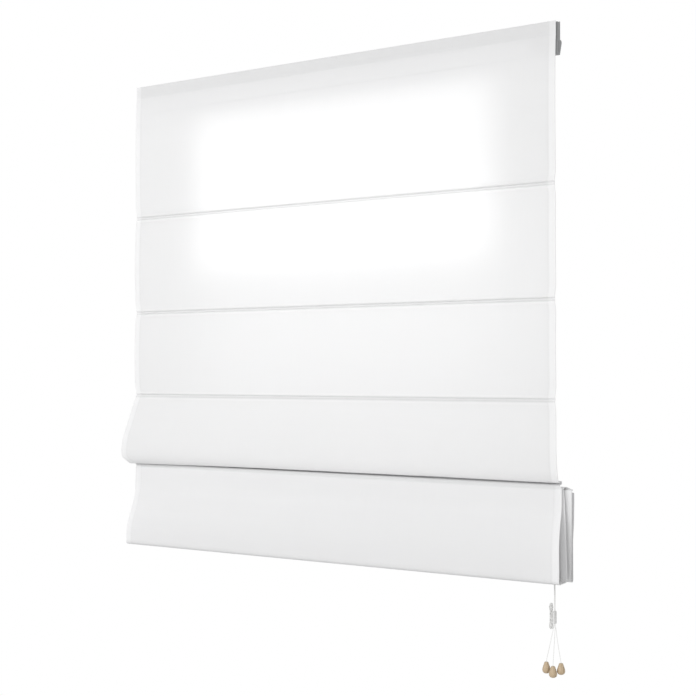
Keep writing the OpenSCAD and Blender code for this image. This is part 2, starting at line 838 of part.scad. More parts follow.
headrail();
end_cap_left();
end_cap_right();
wall_bracket_left();
wall_bracket_right();
hook_strip();
loop_strip();
cord_guide_left();
cord_guide_middle();
cord_guide_right();
lock_body();
lock_roller();
lock_pawl();
lock_pins();
rail_cords();
lift_cords();
fabric_drop();
fabric_folds();
rod_1();
rod_2();
rod_3();
rod_4();
rod_5();
rod_6();
rod_7();
rod_8();
rod_tape_1();
rod_tape_2();
rod_tape_3();
rod_tape_4();
rod_tape_5();
rod_tape_6();
rod_tape_7();
rod_tape_8();
rings_2();
rings_4();
rings_6();
rings_8();
cord_stops();
bottom_bar();
bar_cap_left();
bar_cap_right();
pull_cord_left();
pull_cord_middle();
pull_cord_right();
cord_hank();
knob_left();
knob_middle();
knob_right();
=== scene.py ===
"""Roman blind, half raised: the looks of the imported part, laid out as an add-on.

Sizes in millimetres repeat the part's own source, and MM turns them into metres. A point of the
cloth's profile is a depth u, below zero in front of the hanging panels, and a height.
"""
import math

import bpy
from bpy.props import FloatProperty, FloatVectorProperty, IntProperty, PointerProperty
from bpy.types import Operator, Panel, PropertyGroup
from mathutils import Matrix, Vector, noise


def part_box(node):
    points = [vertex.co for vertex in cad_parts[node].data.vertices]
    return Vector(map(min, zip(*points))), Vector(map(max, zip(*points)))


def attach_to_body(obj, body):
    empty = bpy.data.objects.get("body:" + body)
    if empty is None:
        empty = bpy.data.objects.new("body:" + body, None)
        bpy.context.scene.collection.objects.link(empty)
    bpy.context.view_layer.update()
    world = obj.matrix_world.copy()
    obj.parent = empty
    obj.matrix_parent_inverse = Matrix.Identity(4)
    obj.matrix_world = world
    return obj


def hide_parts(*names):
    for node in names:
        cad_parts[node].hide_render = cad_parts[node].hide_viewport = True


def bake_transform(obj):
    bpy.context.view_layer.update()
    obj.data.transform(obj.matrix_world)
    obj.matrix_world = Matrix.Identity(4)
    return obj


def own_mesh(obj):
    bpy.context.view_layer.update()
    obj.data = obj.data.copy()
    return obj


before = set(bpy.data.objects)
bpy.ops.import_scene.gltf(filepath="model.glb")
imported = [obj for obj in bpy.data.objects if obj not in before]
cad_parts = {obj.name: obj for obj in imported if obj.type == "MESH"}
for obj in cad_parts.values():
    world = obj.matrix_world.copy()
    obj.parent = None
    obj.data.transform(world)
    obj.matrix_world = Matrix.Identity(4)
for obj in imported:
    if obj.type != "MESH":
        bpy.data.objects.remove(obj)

bl_info = {
    "name": "Roman Blind",
    "version": (1, 0, 0),
    "blender": (4, 5, 0),
    "location": "View3D > Sidebar > Blind",
    "description": "Dresses a half raised roman blind: cloth, stitches, cords, knobs and rail",
    "category": "Object",
}

MM = 0.001

# Sizes that the part's source fixes, in millimetres.
BLIND_W = 1000.0
SIDE_HEM_W = 12.0
FABRIC_Y = -27.2
STRIP_LOW = -10.0
HEADER_LOW = -45.0
SEAMS = (-273.5, -480.5, -660.5)
PANEL_4 = 147.0
ROD_4_Z = -807.5
ROD_PITCH = 9.5
PANEL_BOW = 4.0
TURN_R = 2.0
EDGE_R = 4.0
FOLD_DROP = 174.0
FRONT_FOLD_OUT = 38.0
REAR_FOLD_OUT = 8.0
BASE_U = -18.0
BASE_R = 5.0
BASE_UP = 3.0
HEM_DROP = 154.0
HEM_U = 3.0
POCKET_R = 2.8
BAR_H = 22.0
SPLIT_UP = 0.1
TAPE_LEN = 964.0
OUTLET = (488.0, -14.5, -43.0)
CORD_LANES = (-14.5, -12.6, -16.4)
CORD_COLUMNS = (-400.0, 0.0, 400.0)
LIFT_TOP = -17.1
TIE_X = 1.2
TIE_TOP = -993.0
KNOT_H = 24.0
TIE_LOW = TIE_TOP - KNOT_H
HANK_X = -6.0
HANK_TOP = TIE_TOP + 13.0
HANK_H = 47.0
KNOB_D = 14.6
KNOB_H = 20.0

# Routes of the pull cords from the lock's outlet, as in the part's source.
ROUTES = {
    "left": (
        (0, 0, -0.1), (0, 0, -120), (0.1, -0.2, -400), (0.4, -0.4, -900),
        (0.4, -0.5, TIE_TOP + 15), (0.4, -0.5, TIE_LOW), (-2, -0.5, TIE_LOW - 9),
        (-10, -0.4, TIE_LOW - 44), (-15, -0.4, TIE_LOW - 65),
        (-15.4, -0.4, TIE_LOW - 73), (-15.4, -0.4, TIE_LOW - 83)),
    "middle": (
        (0, 1.9, -0.1), (0, 1.9, -120), (0.3, 1.6, -400), (1, 1.1, -900),
        (1.2, 0.9, TIE_TOP + 15), (1.2, 0.9, TIE_LOW), (1.2, 0.2, TIE_LOW - 9),
        (1.3, -5.4, TIE_LOW - 45), (1.4, -9.2, TIE_LOW - 68),
        (1.4, -9.4, TIE_LOW - 77), (1.4, -9.4, TIE_LOW - 87)),
    "right": (
        (0, -1.9, -0.1), (0, -1.9, -120), (0.6, -1.8, -400), (2, -0.9, -900),
        (2.1, -0.5, TIE_TOP + 15), (2.1, -0.5, TIE_LOW), (3.2, -0.5, TIE_LOW - 9),
        (8.2, -0.4, TIE_LOW - 43), (12.4, -0.4, TIE_LOW - 64),
        (12.8, -0.4, TIE_LOW - 72), (12.8, -0.4, TIE_LOW - 82)),
}
KNOB_TOPS = {
    "left": (-15.4, -0.4, TIE_LOW - 69),
    "middle": (1.4, -9.4, TIE_LOW - 73),
    "right": (12.8, -0.4, TIE_LOW - 68),
}

# A sewn seam, in millimetres: how far below its rod the sewing's middle lies, how far from there
# each row of stitches is, the lips beside the stitches and the ridge between them.
GROOVE_LOW = 1.5
SEWN_OFF = 2.5
LIP_H, LIP_IN, LIP_OUT = 2.2, 4.2, 9.0
RIDGE_H, RIDGE_R = 0.9, 1.3

# Share of light let through where the cloth lies on the rail or on itself, and the height from
# which a single layer hangs free.
LINED_GLOW = 0.3
CLEAR_LOW = -80.0

# Threads to a metre in the cloth and in the tapes, and a tape's thickness in metres.
CLOTH_THREADS = 1900.0
TAPE_THREADS = 1500.0
TAPE_T = 0.0004

# Steps across the cloth between its side hems, and the heights of its rows on the rail, between
# the seams and to both sides of a seam, which keeps other rows at a distance. The cloth on the
# rail has two rows of stitches.
COLUMN_STEPS = 156
HEADER_ROWS = (
    15.6, 15.4, 14.8, 13.0, 10.5, 7.0, 3.0, 0.0, -1.0, -2.0, -3.0, -4.0, -6.0, -8.0, -10.0, -11.0,
    -12.0, -13.5, -16.0, -20.0, -25.0, -31.0, -37.0, -40.5, -42.5, -44.0, HEADER_LOW)
ROW_PITCH = 5.5
SEAM_ROWS = (0.0, 0.7, 1.4, 2.0, SEWN_OFF, 3.0, 3.7, 4.5, 5.4, 6.5, 7.8, 9.6, 12.0)
SEAM_CLEAR = 14.0
HEADER_SEWN = (13.0, -2.0)

# Corners round the knobs and the cords, and the longest step along a pull cord in metres.
KNOB_SIDES = 40
CORD_SIDES = 10
HANK_SIDES = 8
CORD_STEP = 0.006

# Sideways hang of the folds at the left and right edges, as shares of the stack's drift: at the
# first rod, the front fold's top and lower edge, its base and its rear top, the rear fold's top
# and lower edge, and the hem's top and lower edge.
STACK_SWAY = (
    (0.45, 0.45), (0.9, 0.82), (0.6, 1.08), (0.6, 1.33), (0.6, 0.9), (0.6, 1.55), (0.55, 1.58),
    (0.5, 1.6), (0.5, 1.3))

# Front face of the front fold: share of the drop, then depth at the left and the right edge.
FRONT_FACE = (
    (0.27, -17.4, -19.5), (0.41, -21.8, -27.5), (0.55, -28.5, -34.5), (0.68, -36.5, -38.5),
    (0.81, -41.2, -40.6))

# The body that carries each run of cloth, how it is held, what it lies on and what it replaces.
CLOTH_RUNS = {
    "header": ("headrail", "stretched", ["loop_strip"], []),
    "panels": ("headrail", "hung", ["rod_1", "rod_2", "rod_3"], ["fabric_drop"]),
    "folds": ("stack", "folded", ["rod_4", "rod_5", "rod_6", "rod_7", "rod_8"], ["fabric_folds"]),
}

# The stage, in metres, degrees and watts, with the lens in millimetres. A lamp has a place, an
# aim, a width, a height, a power and a spread.
CAMERA_PLACE = (1.457, -2.158, -0.615)
CAMERA_YAW, CAMERA_PITCH = 33.31, 1.14
CAMERA_LENS = 67.24
SOFT_LIGHT = 0.5
FLOOR_Y, FLOOR_Z = -0.6, -1.95
FLOOR_R, FLOOR_SIDES = 1.7, 64
LAMPS = {
    "Key": ((-1.1, -3.0, 0.6), (0.0, 0.0, -0.6), 2.6, 2.0, 56.0, 180.0),
    "Fill": ((2.4, -2.4, -0.2), (0.1, 0.0, -0.55), 2.0, 2.0, 23.0, 180.0),
    "Behind": ((0.023, 0.05, -0.232), (0.023, 0.0, -0.232), 0.7, 0.33, 0.42, 100.0),
    "Behind Low": ((0.06, 0.16, -0.48), (0.06, 0.0, -0.48), 0.76, 0.34, 0.44, 180.0),
}


# ---------------------------------------------------------------- settings

def length_setting(name, description, default, least=-0.1):
    """A length in metres that a user may change."""
    return FloatProperty(
        name=name, description=description, default=default, min=least, unit="LENGTH")


def colour_setting(name, description, *rgb):
    """A colour that a user may change."""
    return FloatVectorProperty(
        name=name, description=description, default=(*rgb, 1.0), min=0.0, max=1.0, size=4,
        subtype="COLOR")


class BlindSizes(PropertyGroup):
    """Sizes of the cloth, stitches and cords"""

    fabric_t: length_setting(
        "Fabric Thickness", "Thickness of one layer of fabric", 0.0008, 0.0002)
    hem_t: length_setting(
        "Side Hem Thickness", "Extra thickness of the turned side hems", 0.0004, 0.0)
    pouch_left: length_setting(
        "Soft Fold, Left", "How far the soft fold stands forward at its left end", 0.044)
    pouch_right: length_setting(
        "Soft Fold, Right", "How far the soft fold stands forward at its right end", 0.019)
    seam_nip: length_setting(
        "Seam Nip", "How far the side edges are drawn in at each seam", 0.003)
    ripple: length_setting("Ripple", "Height of the cloth's soft ripples", 0.0016)
    drift: length_setting("Stack Drift", "How far the stacked folds hang to the right", 0.02)
    stitch_pitch: length_setting(
        "Stitch Pitch", "Distance from one stitch to the next", 0.0042, 0.002)
    stitch_len: length_setting("Stitch Length", "Length of one stitch", 0.003, 0.001)
    stitch_d: length_setting("Thread Diameter", "Diameter of the sewing thread", 0.0005, 0.0002)
    cord_d: length_setting("Cord Diameter", "Diameter of the cords", 0.0012, 0.0005)
    hank_turns: IntProperty(
        name="Hank Turns", description="Turns of spare cord in the tied hank", default=4, min=1)


class BlindColours(PropertyGroup):
    """Colours of the blind's materials"""

    fabric: colour_setting("Fabric", "White fabric", 0.885, 0.885, 0.89)
    thread: colour_setting("Thread", "Sewing thread", 0.8, 0.8, 0.79)
    cord: colour_setting("Cord", "Braided cord", 0.91, 0.908, 0.895)
    wood_pale: colour_setting("Pale Wood", "Wood between the growth rings", 0.62, 0.485, 0.325)
    wood_dark: colour_setting("Dark Wood", "Wood in the growth rings", 0.36, 0.26, 0.155)
    rail: colour_setting("Rail", "White coated rail", 0.8, 0.8, 0.79)
    lock: colour_setting("Lock and Caps", "Grey moulded plastic", 0.32, 0.325, 0.33)
    plastic: colour_setting("White Plastic", "White moulded plastic", 0.78, 0.78, 0.76)
    steel: colour_setting("Steel", "Zinc plated steel", 0.55, 0.55, 0.54)
    rod: colour_setting("Rods", "Glass fibre rods", 0.72, 0.72, 0.66)
    floor: colour_setting("Floor", "Pale floor", 0.86, 0.86, 0.86)


# ---------------------------------------------------------------- small helpers

def metres(p):
    """Turn a millimetre point into a vector in metres."""
    return Vector(p) * MM


def mix(a, b, t):
    """Blend two numbers."""
    return a + (b - a) * t


def ease(a, b, v):
    """Smooth step of v from 0 at a to 1 at b."""
    t = min(max((v - a) / (b - a), 0.0), 1.0)
    return t * t * (3.0 - 2.0 * t)


def between(a, b, c, d, t):
    """One point of the smooth curve that the part's source uses."""
    return tuple(
        0.5 * (2 * q + (r - p) * t + (2 * p - 5 * q + 4 * r - s) * t * t
               + (3 * q - p - 3 * r + s) * t ** 3)
        for p, q, r, s in zip(a, b, c, d))


def smooth(points, steps):
    """A smooth curve through all the points, with some steps from each to the next."""
    last = len(points) - 1
    curve = []
    for i in range(last):
        quad = (points[max(i - 1, 0)], points[i], points[i + 1], points[min(i + 2, last)])
        curve += [between(*quad, k / steps) for k in range(steps)]
    return curve + [tuple(points[last])]


def arc(centre, radius, start, stop, steps):
    """Points on an arc, angles in degrees."""
    angles = [math.radians(start + (stop - start) * i / steps) for i in range(steps + 1)]
    return [(centre[0] + radius * math.cos(a), centre[1] + radius * math.sin(a)) for a in angles]


def circle(sides):
    """Cosine and sine of each corner of a round."""
    angles = [2 * math.pi * k / sides for k in range(sides)]
    return [(math.cos(a), math.sin(a)) for a in angles]


def ring_faces(rings, sides, closed=False):
    """Faces from each ring of points to the next, and from the last to the first where closed."""
    faces = []
    for i in range(rings if closed else rings - 1):
        for k in range(sides):
            a, b = i * sides + k, i * sides + (k + 1) % sides
            faces.append((a, b, (b + sides) % (rings * sides), (a + sides) % (rings * sides)))
    return faces


def darker(colour, share):
    """A share of a colour."""
    return tuple(c * share for c in colour[:3]) + (1.0,)


def place_in_scene(name, data):
    """A new object at the origin."""
    obj = bpy.data.objects.new(name, data)
    bpy.context.scene.collection.objects.link(obj)
    return obj


def new_object(name, verts, faces, material, sharp=40.0):
    """A smooth shaded mesh object at the origin."""
    mesh = bpy.data.meshes.new(name)
    mesh.from_pydata(verts, [], faces)
    mesh.materials.append(material)
    mesh.shade_smooth()
    mesh.set_sharp_from_angle(angle=math.radians(sharp))
    return place_in_scene(name, mesh)


def set_uv(mesh, uv):
    """Give a mesh a UV map from one pair of numbers a vertex."""
    layer = mesh.uv_layers.new(name="run")
    flat = []
    for loop in mesh.loops:
        flat += uv[loop.vertex_index]
    layer.data.foreach_set("uv", flat)


def attach(obj, body, slot, *replaced):
    """Make a piece ride on a body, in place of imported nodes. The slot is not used."""
    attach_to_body(obj, body)
    if replaced:
        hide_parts(*replaced)


def dress(names, material, bevel=0.0):
    """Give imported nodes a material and, where asked, softened edges."""
    for name in names:
        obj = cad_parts[name]
        for slot in obj.material_slots:
            slot.link = "OBJECT"
            slot.material = material
        if bevel > 0.0:
            weld = obj.modifiers.new("Weld", "WELD")
            weld.merge_threshold = 0.00001
            soft = obj.modifiers.new("Soft Edges", "BEVEL")
            soft.width = bevel
            soft.segments = 2
            soft.limit_method = "ANGLE"
            soft.angle_limit = math.radians(35)
            soft.harden_normals = True


# ---------------------------------------------------------------- nodes

class Nodes:
    """Adds and links nodes in one tree."""

    def __init__(self, tree):
        self.tree = tree

    def add(self, kind, **values):
        """Add a node, set its settings, and set or link its inputs by name or number."""
        node = self.tree.nodes.new(kind)
        inputs = values.pop("inputs", {})
        for key, value in values.items():
            setattr(node, key, value)
        for key, value in inputs.items():
            if isinstance(value, bpy.types.NodeSocket):
                self.tree.links.new(value, node.inputs[key])
            else:
                node.inputs[key].default_value = value
        return node

    def math(self, operation, a, b=0.0, c=0.0):
        """A Math node's result."""
        return self.add("ShaderNodeMath", operation=operation, inputs={0: a, 1: b, 2: c}).outputs[0]

    def mix(self, factor, a, b):
        """A colour between two colours."""
        node = self.add("ShaderNodeMix", data_type="RGBA", inputs={0: factor, 6: a, 7: b})
        return node.outputs[2]

    def noise(self, vector, scale, detail=2.0):
        """A noise value."""
        return self.add("ShaderNodeTexNoise", inputs={
            "Vector": vector, "Scale": scale, "Detail": detail}).outputs[0]

    def stretch(self, vector, scale):
        """A vector scaled on each axis."""
        return self.add("ShaderNodeVectorMath", operation="MULTIPLY",
                        inputs={0: vector, 1: scale}).outputs[0]

    def axes(self, vector):
        """A vector's three numbers."""
        return self.add("ShaderNodeSeparateXYZ", inputs={0: vector}).outputs


class Finish(Nodes):
    """The nodes of one new material."""

    def __init__(self, name):
        self.material = bpy.data.materials.new(name)
        self.material.use_nodes = True
        super().__init__(self.material.node_tree)
        self.tree.nodes.clear()

    def place(self):
        """Object coordinates."""
        return self.add("ShaderNodeTexCoord").outputs["Object"]

    def run(self):
        """The UV map that follows a cloth or a cord."""
        return self.add("ShaderNodeUVMap", uv_map="run").outputs[0]

    def mask(self, name):
        """A mask that the mesh carries."""
        return self.add("ShaderNodeAttribute", attribute_name=name).outputs["Fac"]

    def group(self, tree, **inputs):
        """The outputs of a shader group."""
        return self.add("ShaderNodeGroup", node_tree=tree, inputs=inputs).outputs

    def strands(self, scale, distortion):
        """Slanted strands, from object coordinates."""
        return self.add(
            "ShaderNodeTexWave", wave_type="BANDS", bands_direction="DIAGONAL", inputs={
                "Vector": self.place(), "Scale": scale, "Distortion": distortion}).outputs["Fac"]

    def surface(self, inputs, height=None, strength=0.0, distance=0.0):
        """End the tree in a Principled shader, with a height as its bump where there is one."""
        if height is not None:
            relief = self.add("ShaderNodeBump", inputs={
                "Strength": strength, "Distance": distance, "Height": height})
            inputs["Normal"] = relief.outputs[0]
        shader = self.add("ShaderNodeBsdfPrincipled", inputs=inputs)
        self.add("ShaderNodeOutputMaterial", inputs={"Surface": shader.outputs[0]})
        return self.material

    def grained(self, grain, colour, dull, roughness, strength, distance, metallic=0.0):
        """A hard surface whose grain changes its tone, gloss and height."""
        return self.surface({
            "Base Color": self.mix(grain["Height"], darker(colour, dull), colour),
            "Roughness": self.math("ADD", grain["Rub"], roughness),
            "Metallic": metallic}, grain["Height"], strength, distance)


# ---------------------------------------------------------------- shader groups

def shader_group(name, inputs, outputs):
    """Decorate a function that fills a shader group, so that the group is built only once.

    The first input is a vector, and all other sockets are numbers.
    """
    def decorate(fill):
        def get():
            tree = bpy.data.node_groups.get(name)
            if tree is None:
                tree = bpy.data.node_groups.new(name, "ShaderNodeTree")
                for label in inputs:
                    kind = "NodeSocketVector" if label == inputs[0] else "NodeSocketFloat"
                    tree.interface.new_socket(label, in_out="INPUT", socket_type=kind)
                for label in outputs:
                    tree.interface.new_socket(
                        label, in_out="OUTPUT", socket_type="NodeSocketFloat")
                nodes = Nodes(tree)
                values = fill(nodes, nodes.add("NodeGroupInput").outputs)
                nodes.add("NodeGroupOutput", inputs=dict(zip(outputs, values)))
            return tree
        return get
    return decorate


@shader_group("Plain Weave", ("Run", "Threads", "Slub"), ("Height", "Tone"))
def weave_group(nodes, given):
    """Plain weave with slubs: a height and a tone, from a cloth's UV map in metres."""
    x, y, _ = nodes.axes(given["Run"])
    turn = nodes.math("MULTIPLY", given["Threads"], math.pi)
    warp = nodes.math("SINE", nodes.math("MULTIPLY", x, turn))
    weft = nodes.math("SINE", nodes.math("MULTIPLY", y, turn))
    over = nodes.math("GREATER_THAN", nodes.math("MULTIPLY", warp, weft), 0.0)
    under = nodes.math("SUBTRACT", 1.0, over)
    threads = nodes.math("ADD", nodes.math("MULTIPLY", nodes.math("ABSOLUTE", warp), over),
                         nodes.math("MULTIPLY", nodes.math("ABSOLUTE", weft), under))
    across = nodes.noise(nodes.stretch(given["Run"], (9.0, 900.0, 1.0)), 1.0, 3.0)
    along = nodes.noise(nodes.stretch(given["Run"], (900.0, 7.0, 1.0)), 1.0, 3.0)
    slub = nodes.math("SUBTRACT", nodes.math("ADD", across, along), 1.0)
    slub = nodes.math("MULTIPLY", slub, given["Slub"])
    return nodes.math("ADD", threads, slub), nodes.math("MULTIPLY_ADD", slub, 0.05, 1.0)


@shader_group("Braid", ("Run", "Strands", "Pitch"), ("Height",))
def braid_group(nodes, given):
    """Braided strands round a cord: a height, from a UV map with turns and metres."""
    x, y, _ = nodes.axes(given["Run"])
    turns = nodes.math("MULTIPLY", nodes.math("MULTIPLY", x, given["Strands"]), 2 * math.pi)
    along = nodes.math("MULTIPLY", nodes.math("DIVIDE", y, given["Pitch"]), 2 * math.pi)
    left = nodes.math("SINE", nodes.math("ADD", turns, along))
    right = nodes.math("SINE", nodes.math("SUBTRACT", turns, along))
    return (nodes.math("MULTIPLY_ADD", nodes.math("MAXIMUM", left, right), 0.5, 0.5),)


@shader_group("Moulded Grain", ("Place", "Scale"), ("Height", "Rub"))
def speckle_group(nodes, given):
    """Fine moulded grain: a height and a roughness offset, from object coordinates."""
    fine = nodes.noise(given["Place"], given["Scale"], 4.0)
    broad = nodes.noise(given["Place"], nodes.math("MULTIPLY", given["Scale"], 0.04), 2.0)
    return fine, nodes.math("MULTIPLY_ADD", broad, 0.24, -0.12)


@shader_group("Drawn Metal", ("Place",), ("Height", "Rub"))
def brushed_group(nodes, given):
    """Fine drawn lines along the blind: a height and a roughness offset."""
    lines = nodes.noise(nodes.stretch(given["Place"], (6.0, 2600.0, 2600.0)), 1.0, 3.0)
    return lines, nodes.math("MULTIPLY_ADD", lines, 0.3, -0.15)


# ---------------------------------------------------------------- materials

def cloth_material(name, colour, threads, slub, glow=None):
    """Woven cloth that lets light through, evenly or as its own mask says."""
    nodes = Finish(name)
    run = nodes.run()
    weave = nodes.group(weave_group(), Run=run, Threads=threads, Slub=slub)
    mottle = nodes.noise(nodes.stretch(run, (5.0, 4.0, 1.0)), 1.0, 2.0)
    tone = weave["Tone"]
    # The tone darkens the colour by the weave, a random mottle and the painted shade mask, and
    # lightens it on the hems and where the painted highlight is below zero.
    for value, gain, base in ((mottle, 0.05, 0.975), (nodes.mask("hem"), 0.12, 0.86),
                              (nodes.mask("held_light"), -0.3, 1.0)):
        tone = nodes.math("MULTIPLY", tone, nodes.math("MULTIPLY_ADD", value, gain, base))
    return nodes.surface({
        "Base Color": nodes.mix(tone, darker(colour, 0.55), colour),
        "Roughness": nodes.math("MULTIPLY_ADD", weave["Height"], -0.1, 0.92),
        "Sheen Weight": 0.15, "Sheen Roughness": 0.5, "Specular IOR Level": 0.2,
        "Subsurface Weight": nodes.mask("see_through") if glow is None else glow,
        "Subsurface Radius": (1.0, 1.0, 1.0), "Subsurface Scale": 0.003,
    }, weave["Height"], 0.35, 0.00012)


def cord_material(name, colour, share, rise):
    """Braided cord, with a share of its colour between the strands and their rise as bump."""
    nodes = Finish(name)
    braid = nodes.group(braid_group(), Run=nodes.run(), Strands=4.0, Pitch=0.0032)["Height"]
    return nodes.surface({
        "Base Color": nodes.mix(braid, darker(colour, share), colour),
        "Roughness": 0.8, "Sheen Weight": 0.2}, braid, rise, 0.00015)


def inner_cord_material(name, colour):
    """Braided cord that has no UV map of its own."""
    nodes = Finish(name)
    strands = nodes.strands(260.0, 0.6)
    return nodes.surface({
        "Base Color": nodes.mix(strands, darker(colour, 0.86), colour),
        "Roughness": 0.8}, strands, 0.5, 0.00012)


def thread_material(name, colour):
    """Twisted sewing thread."""
    nodes = Finish(name)
    twist = nodes.strands(700.0, 0.0)
    return nodes.surface({
        "Base Color": nodes.mix(twist, darker(colour, 0.85), colour),
        "Roughness": 0.6, "Sheen Weight": 0.2}, twist, 0.4, 0.00005)


def plastic_material(name, colour, roughness, grain=2600.0):
    """Moulded plastic with fine grain and rubbed patches."""
    nodes = Finish(name)
    grains = nodes.group(speckle_group(), Place=nodes.place(), Scale=grain)
    return nodes.grained(grains, colour, 0.9, roughness, 0.25, 0.0001)


def metal_material(name, colour, roughness):
    """Drawn and plated metal."""
    nodes = Finish(name)
    lines = nodes.group(brushed_group(), Place=nodes.place())
    return nodes.grained(lines, colour, 0.88, roughness, 0.15, 0.00005, 0.85)


def strip_material(name, colour):
    """Hook and loop strip: a fuzzy pile."""
    nodes = Finish(name)
    pile = nodes.add("ShaderNodeTexVoronoi", inputs={
        "Vector": nodes.place(), "Scale": 900.0}).outputs["Distance"]
    return nodes.surface({
        "Base Color": nodes.mix(pile, colour, darker(colour, 0.7)),
        "Roughness": 0.95, "Sheen Weight": 0.4}, pile, 0.8, 0.0004)


def wood_material(name, pale, dark):
    """Turned pale wood with growth rings, fine pores and a thin lacquer."""
    nodes = Finish(name)
    place = nodes.place()
    x, _, z = nodes.axes(place)
    warp = nodes.noise(nodes.stretch(place, (120.0, 120.0, 30.0)), 1.0, 3.0)
    lean = nodes.math("ADD", nodes.math("MULTIPLY", x, 620.0), nodes.math("MULTIPLY", z, 60.0))
    rings = nodes.math("MULTIPLY_ADD", warp, 9.0, nodes.math("MULTIPLY", lean, 4.0))
    rings = nodes.math("MULTIPLY_ADD", nodes.math("SINE", rings), 0.3, 0.35)
    pores = nodes.noise(nodes.stretch(place, (5200.0, 5200.0, 420.0)), 1.0, 2.0)
    tint = nodes.math("MULTIPLY_ADD", pores, 0.35, nodes.math("SUBTRACT", rings, 0.15))
    return nodes.surface({
        "Base Color": nodes.mix(tint, pale, dark),
        "Roughness": nodes.math("MULTIPLY_ADD", pores, 0.25, 0.38),
        "Coat Weight": 0.15, "Coat Roughness": 0.3}, pores, 0.25, 0.00012)


def floor_material(name, colour):
    """Pale floor with faint clouds."""
    nodes = Finish(name)
    cloud = nodes.noise(nodes.place(), 3.0, 3.0)
    return nodes.surface({
        "Base Color": nodes.mix(cloud, darker(colour, 0.97), colour), "Roughness": 0.9})


# ---------------------------------------------------------------- cloth profiles
# A row of cloth is a depth, a height, a slack, a sideways hang and its painted shade: a share by
# which its colour is darkened, which is a painted highlight where it is below zero.

def seam_off(z, seam):
    """Distance of a height from the middle of a seam's sewing."""
    return abs(z - seam + GROOVE_LOW)


def seam_groove(d):
    """Extra stand-out of the cloth at a distance from the middle of a seam's sewing."""
    lip = LIP_H * (1.0 - math.exp(-(d / LIP_IN) ** 4)) * math.exp(-(d / LIP_OUT) ** 2)
    return lip + RIDGE_H * math.exp(-(d / RIDGE_R) ** 2)


def panel_out(z):
    """How far a flat panel stands forward at a height, and its slack."""
    edges = (STRIP_LOW,) + SEAMS
    for high, low in zip(edges, edges[1:]):
        if low <= z < high:
            share = min(max((high - 0.8 - z) / (high - low - 1.6), 0.0), 1.0)
            bow = PANEL_BOW * math.sin(math.pi * share) ** 0.6
            for seam in SEAMS:
                bow += seam_groove(seam_off(z, seam))
            return bow, math.sin(math.pi * share) ** 0.8
    return 0.0, 0.0


def held_light(z):
    """Painted shade and highlight at a height: shade where the rail, its strip and the sewn layers
    of each seam hold light back, and highlight on the lips beside each seam.
    """
    # Painted shade: a soft band below the rail and a step at the strip's lower edge.
    painted = 0.55 * ease(-120.0, 0.0, z) + 0.15 * ease(STRIP_LOW - 2.0, STRIP_LOW + 2.0, z)
    for seam in SEAMS:
        d = seam_off(z, seam)
        # Painted shade on each seam's sewn lines and band, then a painted highlight on its lips.
        painted += 0.95 * math.exp(-((d - SEWN_OFF) / 1.2) ** 2) + 0.5 * math.exp(-(d / 4.0) ** 6)
        painted -= 0.35 * math.exp(-((d - 6.6) / 1.7) ** 2)
    return painted


def seam_heights(high, low):
    """Heights of rows, closer together below the upper one and beside each seam."""
    rows = {high, high - 1.0, high - 2.5, low}
    z = high - 4.5
    while z > low:
        if all(seam_off(z, seam) > SEAM_CLEAR for seam in SEAMS):
            rows.add(z)
        z -= ROW_PITCH
    for seam in SEAMS:
        for d in SEAM_ROWS:
            rows |= {seam - GROOVE_LOW + d, seam - GROOVE_LOW - d}
    return sorted((z for z in rows if low <= z <= high), reverse=True)


def flat_row(z):
    """One row of a flat panel."""
    out, slack = panel_out(z)
    return -out, z, slack, 0.0, held_light(z)


def header_profile():
    """Rows of the cloth on the rail."""
    return [flat_row(z) for z in HEADER_ROWS]


def panel_profile(share, sizes):
    """Rows from the rail to the first stacked rod, at a share of the width."""
    rows = [flat_row(z) for z in seam_heights(HEADER_LOW, SEAMS[2])]
    out = mix(sizes.pouch_left, sizes.pouch_right, share ** 0.8) / MM
    low = mix(-1.9, 0.2, share) + 2.4 * math.sin(math.pi * share ** 0.85)
    pouch = smooth([
        (0, PANEL_4 - 0.2), (-0.05 * out - 1.2, PANEL_4 - 5), (-0.16 * out - 1, 0.86 * PANEL_4),
        (-0.52 * out, 0.62 * PANEL_4), (-0.87 * out, 0.4 * PANEL_4), (-out, 33 + low),
        (-0.97 * out, 18 + low), (-0.85 * out, 7 + low), (-0.66 * out, 1.2 + low),
        (-0.48 * out, 0.4 + low), (-0.22 * out, mix(low, TURN_R, 0.7)),
        (-TURN_R - 1, TURN_R + 0.5)], 6)
    slack_rows = 54.0
    sway = STACK_SWAY[0][0] * sizes.drift / MM
    for i, (u, w) in enumerate(pouch[1:]):
        slack = math.sin(math.pi * min((i + 1) / slack_rows, 1.0)) ** 0.7
        hang = sway * mix(ease(16.0, 1.0, w), ease(PANEL_4, 0.0, w), share)
        # Painted shade on the soft fold's underside, darkest where it turns in over the rod.
        painted = held_light(ROD_4_Z + w) + 0.6 * ease(24.0, 2.0, w - low)
        rows.append((u, ROD_4_Z + w, 1.6 * slack, hang, painted))
    # The cloth's turn round the first stacked rod has a light painted shade.
    turn = arc((-TURN_R, 0.5), TURN_R, 90, 0, 6)[1:]
    return rows + [(u, ROD_4_Z + w, 0.0, sway, 0.3) for u, w in turn + [(0.0, SPLIT_UP)]]


